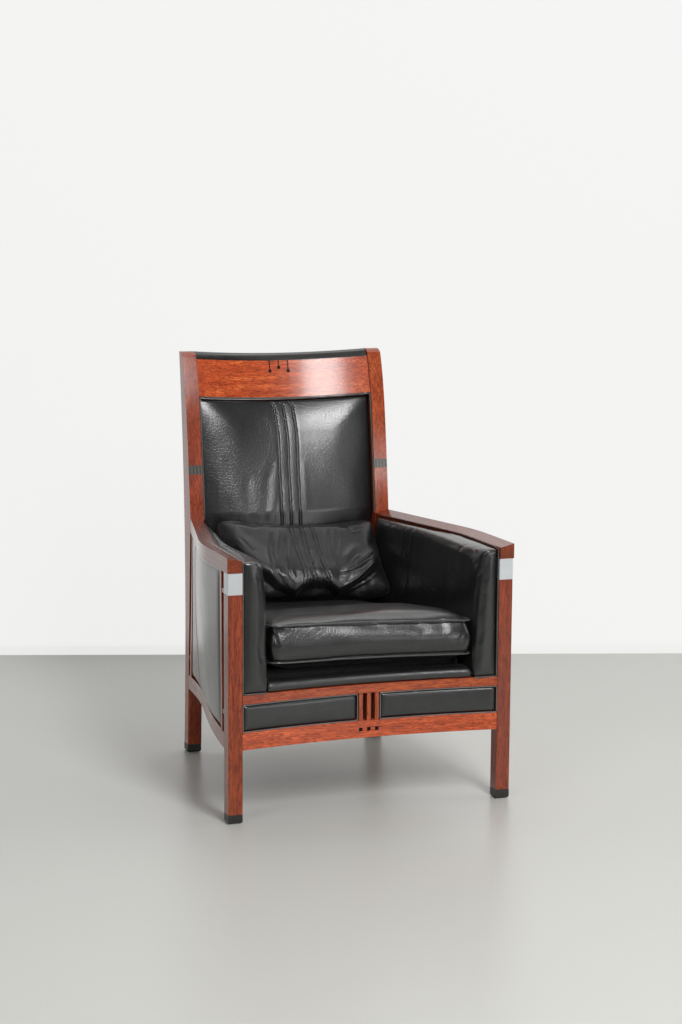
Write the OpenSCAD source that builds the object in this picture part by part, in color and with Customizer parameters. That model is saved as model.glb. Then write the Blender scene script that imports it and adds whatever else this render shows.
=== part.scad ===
// High-backed armchair: a hardwood frame with curved sides, upholstered side, arm and back pads,
// a loose seat cushion and a loose lumbar pillow. Millimetres, +Z up, the chair faces -Y.

/* [Overall] */
// Height over the tops of the back posts
chair_height = 1080; // [1040:5:1120]
// Width over the front legs
front_width = 732; // [712:2:760]
// Width over the back posts
back_width = 560; // [544:2:576]
// Depth on the floor, from the front faces of the front legs to the rear faces of the back posts
floor_depth = 707; // [690:1:740]

/* [Legs and posts] */
// Side of a front leg's square section
leg_size = 36; // [32:1:40]
// Width of a back post across the chair
post_width = 37.5; // [34:0.5:42]
// Depth of a back post at the floor
post_foot_depth = 36; // [32:1:40]
// How far the posts' front faces come forward between the floor and the arms
elbow_forward = 36; // [28:1:44]
// How far the posts' front faces lean back between the arms and the shoulder
post_rake = 71; // [60:1:80]
// How far the posts' rear faces kick back at the floor
foot_kick = 17; // [10:1:24]
// How far the posts' rear faces kick back at the top
head_kick = 50; // [42:1:60]
// Height at which the posts are furthest forward behind
waist_height = 430; // [380:5:480]
// Height of the dark foot caps
foot_cap_height = 22.6; // [16:0.2:30]
// Chamfer round the bottom of a foot cap
foot_cap_chamfer = 4; // [2:0.5:6]
// Diameter of the pin that holds a foot cap
foot_pin = 8; // [6:1:10]
// Height of the metal band near the top of a front leg
band_height = 52.6; // [40:0.2:60]
// Wall of the metal band
band_wall = 1.5; // [1:0.1:2.5]

/* [Arms] */
// Height of the arms' outer top edge
arm_top = 646; // [630:1:665]
// Height of an arm's outer face
arm_depth = 37; // [32:1:42]
// Width of an arm
arm_width = 37; // [33:1:40]
// How much lower the inner top edge is than the outer one
arm_cant = 9; // [4:0.5:12]
// How far an arm stands over the front leg
arm_overhang = 2; // [1:0.5:4]
// Distance from the front at which the arms start to bend inwards
bend_start = 170; // [140:5:200]
// Distance over which the arms bend
bend_run = 130; // [90:5:160]

/* [Rails] */
// Height of the rails' lower edges over the floor
rail_z = 179; // [165:1:190]
// Height of the front rail's lower member
rail_low_height = 43; // [36:1:48]
// Height of the front rail's upper member
rail_up_height = 22.5; // [18:0.5:26]
// Height of the opening between the two members
front_open = 68; // [60:1:74]
// How far the middle of the front rail is set back from its ends
rail_bow = 26; // [16:1:34]
// Thickness of the front rail
rail_thick = 24; // [20:1:28]
// Height of a side rail
side_rail_height = 38.5; // [34:0.5:44]
// Thickness of a side rail
side_rail_thick = 28; // [24:1:30]
// Sideways swing of a side rail's S curve
side_swing = 6; // [2:0.5:8]
// Rise of a side rail in its middle
side_rise = 6; // [2:0.5:10]
// Width of a side stile
stile_width = 16; // [12:1:20]
// Open gap between a stile and its leg or post
stile_gap = 19; // [14:1:24]
// Width of a front slat and of the slots beside it
slat_width = 10.4; // [9:0.2:11.4]
// Side of a square inlay in the front rail
rail_inlay = 8.5; // [6:0.5:10]

/* [Back] */
// How far the crest rail's lower edge at its ends lies under the tops of the back posts
crest_drop = 116; // [105:1:130]
// Height of the wooden part of the crest rail, measured along its lean
crest_height = 101; // [92:1:108]
// Height of the dark cap over the crest rail, measured along its lean
crest_cap = 25; // [20:1:28]
// How far the crest rail's middle is set back from its ends
crest_bow = 39; // [28:1:46]
// Thickness of the crest rail
crest_thick = 24; // [20:1:28]
// Lean of the crest rail from the vertical, degrees
crest_lean = 16.6; // [14:0.2:18]
// Distance between the sewn channels of the back and the pillow, and between the crest's inlay lines
channel_pitch = 26; // [22:1:30]
// Height of the posts' striped inlays
post_inlay_height = 24; // [16:1:30]

/* [Upholstery] */
// Height of the seat deck at its front
deck_front = 352; // [346:1:360]
// Fall of the deck from front to back, in shares of the run
seat_fall = 0.09; // [0.07:0.005:0.11]
// Height of the leather roll over the front rail
bolster_height = 28; // [22:1:32]
// Depth of the leather roll
bolster_depth = 56; // [46:1:60]
// Width of the seat cushion at its front
cushion_width = 516; // [496:2:520]
// Width of the seat cushion at its back
cushion_back_width = 404; // [380:2:412]
// How far the seat cushion ends in front of the rear of the back posts' feet
cushion_rear_set = 114; // [108:1:132]
// Height of the seat cushion between its two welts
cushion_box = 87; // [74:1:92]
// Rise of the seat cushion's crown over its upper welt
cushion_crown = 13; // [6:1:18]
// Width of the lumbar pillow
pillow_width = 436; // [400:2:440]
// Thickness of the lumbar pillow
pillow_thick = 124; // [100:2:130]

/* [Hidden] */

// Clearances: a soft piece to its neighbour, and an overrun of a cutting shape
soft_gap = 0.4;
overrun = 1;
// Rounding steps of true circles
round_fn = 32;

// Plan of the frame, measured back from the front faces of the front legs
front_half = front_width / 2;
back_half = back_width / 2;
post_inner = back_half - post_width;
leg_inner = front_half - leg_size;
post_foot_y = floor_depth - post_foot_depth;
elbow_rise = 6;
elbow_z = arm_top + elbow_rise;
elbow_y = post_foot_y - elbow_forward;
shoulder_drop = 18;
shoulder_z = chair_height - shoulder_drop;
shoulder_roll = 28;
crest_z = chair_height - crest_drop;
// Share of the rake that is an even lean; the rest comes in near the top
lean_share = 0.7;
waist_y = floor_depth - foot_kick;
arm_bottom = arm_top - arm_depth;
side_rail_top = rail_z + side_rail_height;
rail_low_top = rail_z + rail_low_height;
rail_up_z = rail_low_top + front_open;
rail_top = rail_up_z + rail_up_height;

function mix(a, b, t) = a + (b - a) * t;
function clamp01(t) = max(0, min(1, t));
function smooth(t) = clamp01(t) * clamp01(t) * (3 - 2 * clamp01(t));

// Front face of the back posts at a height
function post_front(z) = z < elbow_z
    ? post_foot_y - elbow_forward * z / elbow_z
    : let (s = (z - elbow_z) / (shoulder_z - elbow_z))
        elbow_y + post_rake * (lean_share * s + (1 - lean_share) * pow(s, 5));
// Rear face of the back posts at a height
function post_rear(z) = z < waist_height
    ? waist_y + foot_kick * pow((waist_height - z) / waist_height, 2)
    : waist_y + head_kick * pow((z - waist_height) / (chair_height - waist_height), 2);

// Outer plan line of the arms: straight, then a bend, then straight to the back post
arm_out = front_half + arm_overhang;
bend_end = bend_start + bend_run;
arm_slope = (arm_out - back_half) / (bend_run / 2 + elbow_y - bend_end);
function arm_x(y) = y < bend_start ? arm_out
    : y < bend_end ? arm_out - arm_slope * pow(y - bend_start, 2) / (2 * bend_run)
    : arm_out - arm_slope * (bend_run / 2 + y - bend_end);
// Outer plan line of the side rails: a shallow S from the front leg to the back post
function side_t(y) = (y - leg_size) / (post_front(rail_z) - leg_size);
function rail_x(y) = mix(front_half, back_half, side_t(y)) + side_swing * sin(360 * clamp01(side_t(y)));
function rail_rise(y) = side_rise * sin(180 * clamp01(side_t(y)));
// Outer face of a side between the rail below and the arm above
function side_x(y, z) = mix(rail_x(y), arm_x(y) - arm_overhang,
    clamp01((z - side_rail_top) / (arm_bottom - side_rail_top)));
// Front rail: distance back of its front face across the chair
rail_radius = (leg_inner * leg_inner + rail_bow * rail_bow) / (2 * rail_bow);
function bow(x) = rail_bow - rail_radius + sqrt(rail_radius * rail_radius - x * x);

// Crest rail frame
crest_recess = 6;
crest_cap_over = 2;
crest_cap_roll = 15.5;
crest_y = post_front(crest_z) + crest_recess;
crest_radius = (post_inner * post_inner + crest_bow * crest_bow) / (2 * crest_bow);
crest_rear = crest_bow + crest_thick + crest_cap_over;

// The origin lies under the middle of the whole chair's box
rearmost = crest_y + crest_rear * cos(crest_lean) + (crest_height + crest_cap) * sin(crest_lean);
middle_y = (rearmost - arm_overhang) / 2;
module chair() { translate([0, -middle_y, 0]) children(); }
module right() { children(); }
module left() { mirror([1, 0, 0]) children(); }
module both() { right() children(); left() children(); }

// Solid through rings of points; every ring has the same number of points
module loft(rings) {
    n = len(rings);
    m = len(rings[0]);
    sides = [for (k = [0:n - 2]) for (i = [0:m - 1])
        let (j = (i + 1) % m, a = k * m + i, b = k * m + j, c = a + m, d = b + m)
        each [[a, b, d], [a, d, c]]];
    caps = [for (i = [1:m - 2]) each [[0, i + 1, i], [(n - 1) * m, (n - 1) * m + i, (n - 1) * m + i + 1]]];
    polyhedron([for (r = rings) each r], concat(sides, caps), convexity = 8);
}

// Slab between a front and a back surface, each a function of two shares
module slab(front, back, us, vs) {
    nu = len(us);
    nv = len(vs);
    half = nu * nv;
    points = concat([for (v = vs) for (u = us) front(u, v)], [for (v = vs) for (u = us) back(u, v)]);
    edge = concat([for (i = [0:nu - 1]) i], [for (j = [1:nv - 1]) j * nu + nu - 1],
        [for (i = [nu - 2:-1:0]) (nv - 1) * nu + i], [for (j = [nv - 2:-1:1]) j * nu]);
    face = [for (j = [0:nv - 2]) for (i = [0:nu - 2]) let (a = j * nu + i)
        each [[a, a + nu, a + 1], [a + 1, a + nu, a + nu + 1]]];
    rear = [for (t = face) [t[0] + half, t[2] + half, t[1] + half]];
    rim = [for (k = [0:len(edge) - 1]) let (a = edge[k], b = edge[(k + 1) % len(edge)])
        each [[a, b, b + half], [a, b + half, a + half]]];
    polyhedron(points, concat(face, rear, rim), convexity = 8);
}
function steps(n) = [for (i = [0:n]) i / n];

// Front legs
tenon = 20;
tenon_height = 18;
joint_gap = 0.1;
module front_leg() {
    color("#9c4426") chair() difference() {
        union() {
            translate([leg_inner, 0, foot_cap_height])
                cube([leg_size, leg_size, arm_bottom - band_height - foot_cap_height]);
            translate([leg_inner + band_wall, band_wall, arm_bottom - band_height])
                cube([leg_size - 2 * band_wall, leg_size - 2 * band_wall, band_height]);
            translate([leg_inner + (leg_size - tenon) / 2, (leg_size - tenon) / 2, arm_bottom])
                cube([tenon, tenon, tenon_height]);
        }
        foot_pin_at([front_half - leg_size / 2, leg_size / 2]);
    }
}
module leg_band() {
    color("#c9ccd0") chair() translate([leg_inner, 0, arm_bottom - band_height]) difference() {
        cube([leg_size, leg_size, band_height]);
        translate([band_wall, band_wall, -overrun])
            cube([leg_size - 2 * band_wall, leg_size - 2 * band_wall, band_height + 2 * overrun]);
    }
}

// Foot caps and the pins that hold them
foot_pin_length = 28;
foot_pin_base = 8;
module foot_pin_at(p) {
    translate([p[0], p[1], foot_pin_base]) cylinder(d = foot_pin, h = foot_pin_length, $fn = round_fn);
}
module foot_pins_all() {
    color("#8d9196") chair() both() {
        foot_pin_at([front_half - leg_size / 2, leg_size / 2]);
        foot_pin_at([back_half - post_width / 2, post_foot_y + post_foot_depth / 2]);
    }
}
module chamfered(wide) {
    c = foot_cap_chamfer;
    polygon([[c, 0], [wide - c, 0], [wide, c], [wide, foot_cap_height], [0, foot_cap_height], [0, c]]);
}
module foot_cap(x, y, wide, deep) {
    color("#1b1a1a") chair() difference() {
        translate([x, y, 0]) intersection() {
            translate([0, deep, 0]) rotate([90, 0, 0]) linear_extrude(deep) chamfered(wide);
            rotate([90, 0, 90]) linear_extrude(wide) chamfered(deep);
        }
        foot_pin_at([x + wide / 2, y + deep / 2]);
    }
}
module foot_cap_front() { foot_cap(leg_inner, 0, leg_size, leg_size); }
module foot_cap_back() { foot_cap(post_inner, post_foot_y, post_width, post_foot_depth); }

// Back posts
post_steps = 16;
inlay_depth = 3;
post_inlay_z = 760;
front_outline = [for (i = [0:post_steps]) let (z = mix(elbow_z, shoulder_z, i / post_steps))
    [post_front(z), z]];
rear_outline = [for (i = [0:post_steps]) let (z = mix(chair_height, foot_cap_height, i / post_steps))
    [post_rear(z), z]];
roll_outline = [for (a = [30:30:90])
    [post_front(shoulder_z) + shoulder_roll * (1 - cos(a)), shoulder_z + shoulder_drop * sin(a)]];
module across(x0, x1) {
    translate([x0, 0, 0]) rotate([90, 0, 90]) linear_extrude(x1 - x0) children();
}
module post_inlay_section(extra) {
    z1 = post_inlay_z + post_inlay_height;
    polygon([[post_front(post_inlay_z) - extra, post_inlay_z], [post_front(z1) - extra, z1],
        [post_front(z1) + inlay_depth, z1], [post_front(post_inlay_z) + inlay_depth, post_inlay_z]]);
}
module back_post() {
    color("#9c4426") chair() difference() {
        across(post_inner, back_half) polygon(concat([[post_front(foot_cap_height), foot_cap_height]],
            front_outline, roll_outline, rear_outline));
        across(post_inner - overrun, back_half + overrun) post_inlay_section(overrun);
        foot_pin_at([back_half - post_width / 2, post_foot_y + post_foot_depth / 2]);
        arm_dowel_at();
    }
}
module post_inlay() {
    color("#2a211d") chair() across(post_inner, back_half) post_inlay_section(0);
}

// Arms, their dowels into the back posts
arm_steps = 22;
dowel = 10;
dowel_half = 26;
arm_dowel_z = arm_bottom + arm_depth / 2 - arm_cant / 4;
function arm_ring(y, last) = let (xo = arm_x(y), xi = xo - arm_width,
        yb = last ? post_front(arm_bottom) : y, yo = last ? post_front(arm_top) : y,
        yi = last ? post_front(arm_top - arm_cant) : y)
    [[xo, yb, arm_bottom], [xo, yo, arm_top], [xi, yi, arm_top - arm_cant], [xi, yb, arm_bottom]];
module arm_dowel_at() {
    translate([back_half - post_width / 2, elbow_y - dowel_half, arm_dowel_z]) rotate([-90, 0, 0])
        cylinder(d = dowel, h = 2 * dowel_half, $fn = round_fn);
}
module arm() {
    color("#a14a2a") chair() difference() {
        loft([for (i = [0:arm_steps]) arm_ring(mix(-arm_overhang, elbow_y, i / arm_steps), i == arm_steps)]);
        translate([leg_inner + (leg_size - tenon) / 2 - joint_gap, (leg_size - tenon) / 2 - joint_gap,
            arm_bottom - overrun]) cube([tenon + 2 * joint_gap, tenon + 2 * joint_gap,
            tenon_height + joint_gap + overrun]);
        arm_dowel_at();
    }
}
module arm_dowels_all() {
    color("#c9a578") chair() both() arm_dowel_at();
}

// Side rails
side_steps = 20;
function side_rail_ring(y, last) = let (r = rail_rise(y), x = rail_x(y),
        y0 = last ? post_front(rail_z) : y, y1 = last ? post_front(side_rail_top) : y)
    [[x, y0, rail_z + r], [x, y1, side_rail_top + r],
     [x - side_rail_thick, y1, side_rail_top + r], [x - side_rail_thick, y0, rail_z + r]];
module side_rail() {
    color("#a14a2a") chair() loft([for (i = [0:side_steps])
        side_rail_ring(mix(leg_size, post_front(rail_z), i / side_steps), i == side_steps)]);
}

// Stiles beside the leg and the post, and the short bars that bridge their gaps
stile_thick = 22;
stile_steps = 6;
bar_height = 11;
bar_set = 1;
bar_thick = 10;
bar_heights = [556, 262];
function front_stile_y() = leg_size + stile_gap;
function rear_stile_y(z) = post_front(z) - stile_gap - stile_width;
function stile_ring(y, t) = let (z = mix(side_rail_top + rail_rise(y), arm_bottom, t), y1 = y + stile_width,
        a = side_x(y, z), b = side_x(y1, z))
    [[a, y, z], [a - stile_thick, y, z], [b - stile_thick, y1, z], [b, y1, z]];
function stile_foot_ring(y) = let (z = side_rail_top, y1 = y + stile_width,
        a = side_x(y, z), b = side_x(y1, z))
    [[a, y, z + rail_rise(y)], [a - stile_thick, y, z + rail_rise(y)],
     [b - stile_thick, y1, z + rail_rise(y1)], [b, y1, z + rail_rise(y1)]];
module stile(front) {
    y_at = function(t) front ? front_stile_y() : rear_stile_y(mix(side_rail_top, arm_bottom, t));
    loft(concat([stile_foot_ring(y_at(0))], [for (i = [1:stile_steps]) stile_ring(y_at(i / stile_steps),
        i / stile_steps)]));
}
module side_stiles() {
    color("#a14a2a") chair() {
        stile(true);
        stile(false);
    }
}
function bar_ring(ya, yb, z) = let (a = side_x(ya, z) - bar_set, b = side_x(yb, z) - bar_set)
    [[a, ya, z], [a - bar_thick, ya, z], [b - bar_thick, yb, z], [b, yb, z]];
module side_bars() {
    color("#a14a2a") chair() for (z = bar_heights) {
        loft([for (h = [z, z + bar_height]) bar_ring(leg_size, front_stile_y() - joint_gap, h)]);
        loft([for (h = [z, z + bar_height])
            bar_ring(rear_stile_y(h) + stile_width + joint_gap, post_front(h), h)]);
    }
}

// Leather side panels over thin boards
panel_thick = 14;
panel_crown = 5;
panel_roll = 7;
board_thick = 8;
function panel_y(t, z) = mix(front_stile_y() + stile_width + soft_gap, rear_stile_y(z) - soft_gap, t);
function edge_round(t, share) = sqrt(1 - pow(1 - min(1, min(t, 1 - t) / share), 2));
panel_edge_share = 0.05;
function panel_point(t, w, out) = let (z0 = side_rail_top + side_rise + soft_gap,
        z = mix(z0, arm_bottom - soft_gap, w), y = panel_y(t, z),
        lift = edge_round(t, panel_edge_share) * edge_round(w, panel_edge_share),
        crown = panel_crown * sin(180 * t) * sin(180 * w))
    [side_x(y, z) - (out ? panel_roll * (1 - lift) - crown : panel_thick), y, z];
edge_shares = [0, 0.02, 0.06];
skin_columns = 8;
skin_rows = 6;
function with_edges(n) = let (e = edge_shares[len(edge_shares) - 1]) concat(edge_shares,
    [for (i = [1:n - 1]) mix(e, 1 - e, i / n)],
    [for (i = [len(edge_shares) - 1:-1:0]) 1 - edge_shares[i]]);
module side_panel() {
    color("#232325") chair() slab(function(u, w) panel_point(u, w, true),
        function(u, w) panel_point(u, w, false), with_edges(skin_columns), with_edges(skin_rows));
}
module side_board() {
    color("#caa878") chair() slab(function(u, w) panel_point(u, w, false) - [soft_gap, 0, 0],
        function(u, w) panel_point(u, w, false) - [board_thick, 0, 0],
        with_edges(skin_columns), with_edges(skin_rows));
}

// Top of the seat frame and the straps on it, which the pads clear
frame_drop = 2;
frame_top = rail_up_z - frame_drop;
web_thick = 3;

// Arm pads inside the arms
pad_front = 5;
pad_end = 1;
pad_top_drop = 3;
pad_shoulder = 16;
pad_low_half = 268;
pad_top_half = 277;
pad_rear_half = 238;
pad_ease = 22;
pad_ease_run = 110;
pad_mid_y = 150;
pad_turn_set = 327;
pad_turn_y = floor_depth - pad_turn_set;
pad_low_rear_half = 216;
pad_bottom_front = rail_top + soft_gap;
pad_web_gap = 1;
pad_bottom_rear = frame_top + web_thick + pad_web_gap;
pad_step_y = 56;
pad_step_run = 12;
pad_belly = 5;
pad_rear_y = post_front(arm_top) - pad_end - stile_gap;
function pad_top_x(y) = mix(pad_top_half, pad_rear_half,
    smooth((y - (pad_turn_y + pad_mid_y) / 2) / (elbow_y - (pad_turn_y + pad_mid_y) / 2)));
function pad_low_x(y) = mix(pad_low_half, pad_low_rear_half,
    smooth((y - pad_mid_y) / (elbow_y - pad_mid_y)));
// The front edge eases outwards towards the top of the pad
function pad_ease_at(y) = let (t = clamp01((y - pad_front) / pad_ease_run))
    pad_ease * (1 - sqrt(1 - pow(1 - t, 2)));
function pad_inner(y, z) = let (h = pow(clamp01((z - rail_top) / (arm_top - rail_top)), 2))
    mix(pad_low_x(y), pad_top_x(y) + pad_ease_at(y), h);
function pad_bottom(y) = mix(pad_bottom_front, pad_bottom_rear, clamp01((y - pad_step_y) / pad_step_run));
function pad_outer(y, z) = (z > arm_bottom - soft_gap ? arm_x(y) - arm_width
    : min(arm_x(y) - arm_width, side_x(y, z) - max(panel_thick + board_thick, side_rail_thick))) - soft_gap;
pad_levels = 9;
pad_round = [0, 30, 60, 90];
pad_shoulder_share = 0.9;
function pad_ring(y) = let (z0 = pad_bottom(y), z1 = arm_top - arm_cant - pad_top_drop,
        swell = pad_belly * sin(180 * clamp01(y / elbow_y)), xo = min(leg_inner - soft_gap, pad_outer(y, z1)),
        xi = pad_inner(y, z1), sh = min(pad_shoulder, pad_shoulder_share * (xo - xi)), zs = z1 - sh)
    concat([for (a = pad_round) [pad_inner(y, zs) + sh * (1 - sin(a)), y, zs + sh * cos(a)]],
        [for (i = [1:pad_levels]) let (z = mix(zs, z0, i / pad_levels))
            [pad_inner(y, z) - swell * sin(180 * i / pad_levels), y, z]],
        [for (z = [z0, arm_bottom - soft_gap, arm_bottom, z1])
            [min(leg_inner - soft_gap, pad_outer(y, z)), y, z]]);
// Distances back of the rings: close at the front, at the step over the rail, then even
pad_near_stations = [0, 4, 19, 43];
pad_run_start = 100;
pad_run_stop = 35;
pad_run_count = 12;
pad_stations = concat([for (y = pad_near_stations) pad_front + y], [pad_step_y, pad_step_y + pad_step_run],
    [for (i = [0:pad_run_count]) mix(pad_run_start, pad_rear_y - pad_run_stop, i / pad_run_count)],
    [pad_rear_y]);
module arm_pad() {
    color("#1f1f21") chair() loft([for (y = pad_stations) pad_ring(y)]);
}

// Front rail, in two members with slats between them
rail_sweep = 30;
bow_fn = 360;
bow_cut = rail_thick + rail_bow;
module bowed(z, h, half, front, thick) {
    intersection() {
        translate([0, rail_bow - rail_radius, z]) rotate([0, 0, 90 - rail_sweep / 2])
            rotate_extrude(angle = rail_sweep, $fn = bow_fn)
                translate([rail_radius + front, 0]) square([thick, h]);
        translate([-half, -bow_cut, z - overrun]) cube([2 * half, 3 * bow_cut, h + 2 * overrun]);
    }
}
inlay_drop = 26;
module rail_inlays_at(extra) {
    for (i = [-1:1])
        translate([2 * i * slat_width - rail_inlay / 2, bow(0) - extra, rail_low_top - inlay_drop])
            cube([rail_inlay, inlay_depth + extra, rail_inlay]);
}
module front_rail_low() {
    color("#a14a2a") chair() difference() {
        bowed(rail_z, rail_low_height, leg_inner, 0, rail_thick);
        rail_inlays_at(overrun);
    }
}
module front_inlays_all() {
    color("#1b1a1a") chair() rail_inlays_at(0);
}
module front_rail_up() {
    color("#a14a2a") chair() bowed(rail_up_z, rail_up_height, leg_inner, 0, rail_thick);
}
module front_slats_all() {
    color("#a14a2a") chair() for (i = [-1:1])
        translate([2 * i * slat_width - slat_width / 2, bow(0), rail_low_top])
            cube([slat_width, rail_thick, front_open]);
}

// Front panels: a bead frame and a padded leather panel in each opening
bead = 3;
bead_depth = 14;
panel_gap = 2;
panel_near = 2.5 * slat_width + panel_gap;
front_panel_thick = 16;
front_panel_set = 2;
front_panel_roll = 5;
front_panel_crown = 2;
front_panel_edge_shares = [0.04, 0.16];
front_panel_columns = 6;
front_panel_row_shares = [0, 0.06, 0.17, 0.5, 0.83, 0.94, 1];
module front_bead() {
    color("#8d9196") chair() difference() {
        intersection() {
            bowed(rail_low_top, front_open, leg_inner, 1, bead_depth);
            translate([panel_near, -bow_cut, rail_low_top]) cube([front_half, 3 * bow_cut, front_open]);
        }
        translate([panel_near + bead, -bow_cut, rail_low_top + bead])
            cube([leg_inner - panel_near - 2 * bead, 3 * bow_cut, front_open - 2 * bead]);
    }
}
function front_panel_point(u, w, out) = let (
        x = mix(panel_near + bead + soft_gap, leg_inner - bead - soft_gap, u),
        z = mix(rail_low_top + bead + soft_gap, rail_up_z - bead - soft_gap, w),
        lift = edge_round(u, front_panel_edge_shares[0]) * edge_round(w, front_panel_edge_shares[1]),
        crown = front_panel_crown * sin(180 * u) * sin(180 * w))
    [x, bow(x) + front_panel_set + (out ? front_panel_roll * (1 - lift) - crown : front_panel_thick), z];
module front_panel() {
    color("#232325") chair() slab(function(u, w) front_panel_point(u, w, true),
        function(u, w) front_panel_point(u, w, false),
        with_edges(front_panel_columns), front_panel_row_shares);
}

// Seat frame under the seat, its corner blocks, webbing and deck
frame_base = 26;
frame_z = rail_z + frame_base;
frame_thick = 26;
frame_back_thick = 20;
frame_steps = 12;
function frame_out(y) = rail_x(y) - max(side_rail_thick, panel_thick + board_thick) - soft_gap;
function frame_in(y) = frame_out(y) - frame_thick;
frame_front_y = rail_bow + rail_thick;
frame_back_y = post_front(frame_top) + joint_gap;
module plan_rail(z, h, y0, y1, n, near, far) {
    translate([0, 0, z]) linear_extrude(h) polygon(concat(
        [for (i = [0:n]) let (y = mix(y0, y1, i / n)) [far(y), y]],
        [for (i = [n:-1:0]) let (y = mix(y0, y1, i / n)) [near(y), y]]));
}
module seat_frame_side() {
    color("#c8a06a") chair() plan_rail(frame_z, frame_top - frame_z, frame_front_y + frame_thick,
        frame_back_y - joint_gap, frame_steps, function(y) frame_in(y), function(y) frame_out(y));
}
module seat_frame_front_rail() {
    x = frame_out(frame_front_y + frame_thick);
    color("#c8a06a") chair() difference() {
        translate([-x, frame_front_y, frame_z]) cube([2 * x, frame_thick, frame_top - frame_z]);
        both() block_screw_at(front_block_y, 1);
    }
}
module seat_frame_back_rail() {
    color("#c8a06a") chair() difference() {
        translate([-post_inner, frame_back_y, side_rail_top])
            cube([2 * post_inner, frame_back_thick, frame_top - side_rail_top]);
        both() block_screw_at(back_block_y, -1);
    }
}
block = 60;
block_screw = 5;
block_screw_grip = 16;
screw_head = 9;
screw_head_height = 4;
block_z = side_rail_top;
block_screw_z = (block_z + frame_top) / 2;
front_block_y = frame_front_y + frame_thick;
back_block_y = frame_back_y;
function block_in(y) = frame_in(y) - soft_gap;
module corner_block(y, dir) {
    difference() {
        translate([0, 0, block_z]) linear_extrude(frame_top - block_z)
            polygon([[block_in(y), y], [block_in(y) - block, y], [block_in(y + dir * block), y + dir * block],
                [block_in(y + dir * block / 2), y + dir * block / 2]]);
        block_screw_at(y, dir);
    }
}
// A screw through a block, square to the rail that it holds; its head stands on the block's slope
module block_screw_at(y, dir) {
    reach = 2 * block / 3;
    translate([block_in(y) - block / 3, y + dir * reach, block_screw_z]) rotate([90 * dir, 0, 0]) {
        cylinder(d = block_screw, h = reach + block_screw_grip, $fn = round_fn);
        translate([0, 0, -screw_head_height]) cylinder(d = screw_head, h = screw_head_height, $fn = round_fn);
    }
}
module corner_blocks_all() {
    color("#b98f58") chair() both() {
        corner_block(front_block_y, 1);
        corner_block(back_block_y, -1);
    }
}
module block_screws_all() {
    color("#8d9196") chair() both() {
        block_screw_at(front_block_y, 1);
        block_screw_at(back_block_y, -1);
    }
}
strap = 50;
strap_count = 4;
strap_reach = 190;
module seat_webbing_all() {
    y0 = frame_front_y;
    y1 = frame_back_y + frame_back_thick;
    color("#3b3a34") chair() translate([0, 0, frame_top]) {
        for (i = [0:strap_count - 1])
            translate([mix(-strap_reach, strap_reach - strap, i / (strap_count - 1)), y0, 0])
                cube([strap, y1 - y0, web_thick]);
        for (i = [0:strap_count]) let (y = mix(y0 + 2 * strap, y1 - 3 * strap, i / strap_count),
                x = frame_out(y + strap))
            translate([-x, y, 0]) cube([2 * x, strap, web_thick]);
    }
}
bolster_gap = 2;
deck_y0 = rail_bow + bolster_depth + bolster_gap;
deck_rear_set = 99;
deck_y1 = floor_depth - deck_rear_set;
deck_front_half = 262;
deck_back_half = 208;
function deck_top(y) = deck_front - seat_fall * (y - deck_y0);
module seat_deck_pad() {
    color("#2b2b2d") chair() intersection() {
        across(-deck_front_half, deck_front_half) polygon([[deck_y0, frame_top + web_thick],
            [deck_y1, frame_top + web_thick], [deck_y1, deck_top(deck_y1)], [deck_y0, deck_top(deck_y0)]]);
        linear_extrude(chair_height) polygon([[-deck_front_half, deck_y0], [deck_front_half, deck_y0],
            [deck_back_half, deck_y1], [-deck_back_half, deck_y1]]);
    }
}

// Leather roll over the front rail
bolster_half = 264;
bolster_steps = 24;
bolster_end = 10;
bolster_end_set = 2;
// Height and depth of the roll's ends, and its section, in shares of its full height and depth
bolster_end_high_share = 0.72;
bolster_end_deep_share = 0.8;
bolster_section_shares = [[0.05, 0], [1, 0], [1, 0.8], [0.8, 0.96], [0.45, 1], [0.2, 0.93], [0.06, 0.75],
    [0, 0.5], [0.02, 0.2]];
function bolster_ring(x) = let (e = (bolster_half - abs(x)) / bolster_end,
        s = e < 1 ? sqrt(1 - pow(1 - e, 2)) : 1, h = bolster_height * mix(bolster_end_high_share, 1, s),
        d = bolster_depth * mix(bolster_end_deep_share, 1, s), y0 = bow(x) + bolster_end_set * (1 - s))
    [for (p = bolster_section_shares) [x, y0 + p[0] * d, rail_top + mix(soft_gap, h, p[1])]];
bolster_end_shares = [1, 0.7, 0.2];
module seat_bolster_roll() {
    ends = [for (e = bolster_end_shares) bolster_half - bolster_end * (1 - e)];
    color("#1f1f21") chair() loft([for (x = concat(ends,
        [for (i = [bolster_steps - 1:-1:1]) mix(-bolster_half + bolster_end, bolster_half - bolster_end,
            i / bolster_steps)], [for (i = [2:-1:0]) -ends[i]])) bolster_ring(x)]);
}

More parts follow.
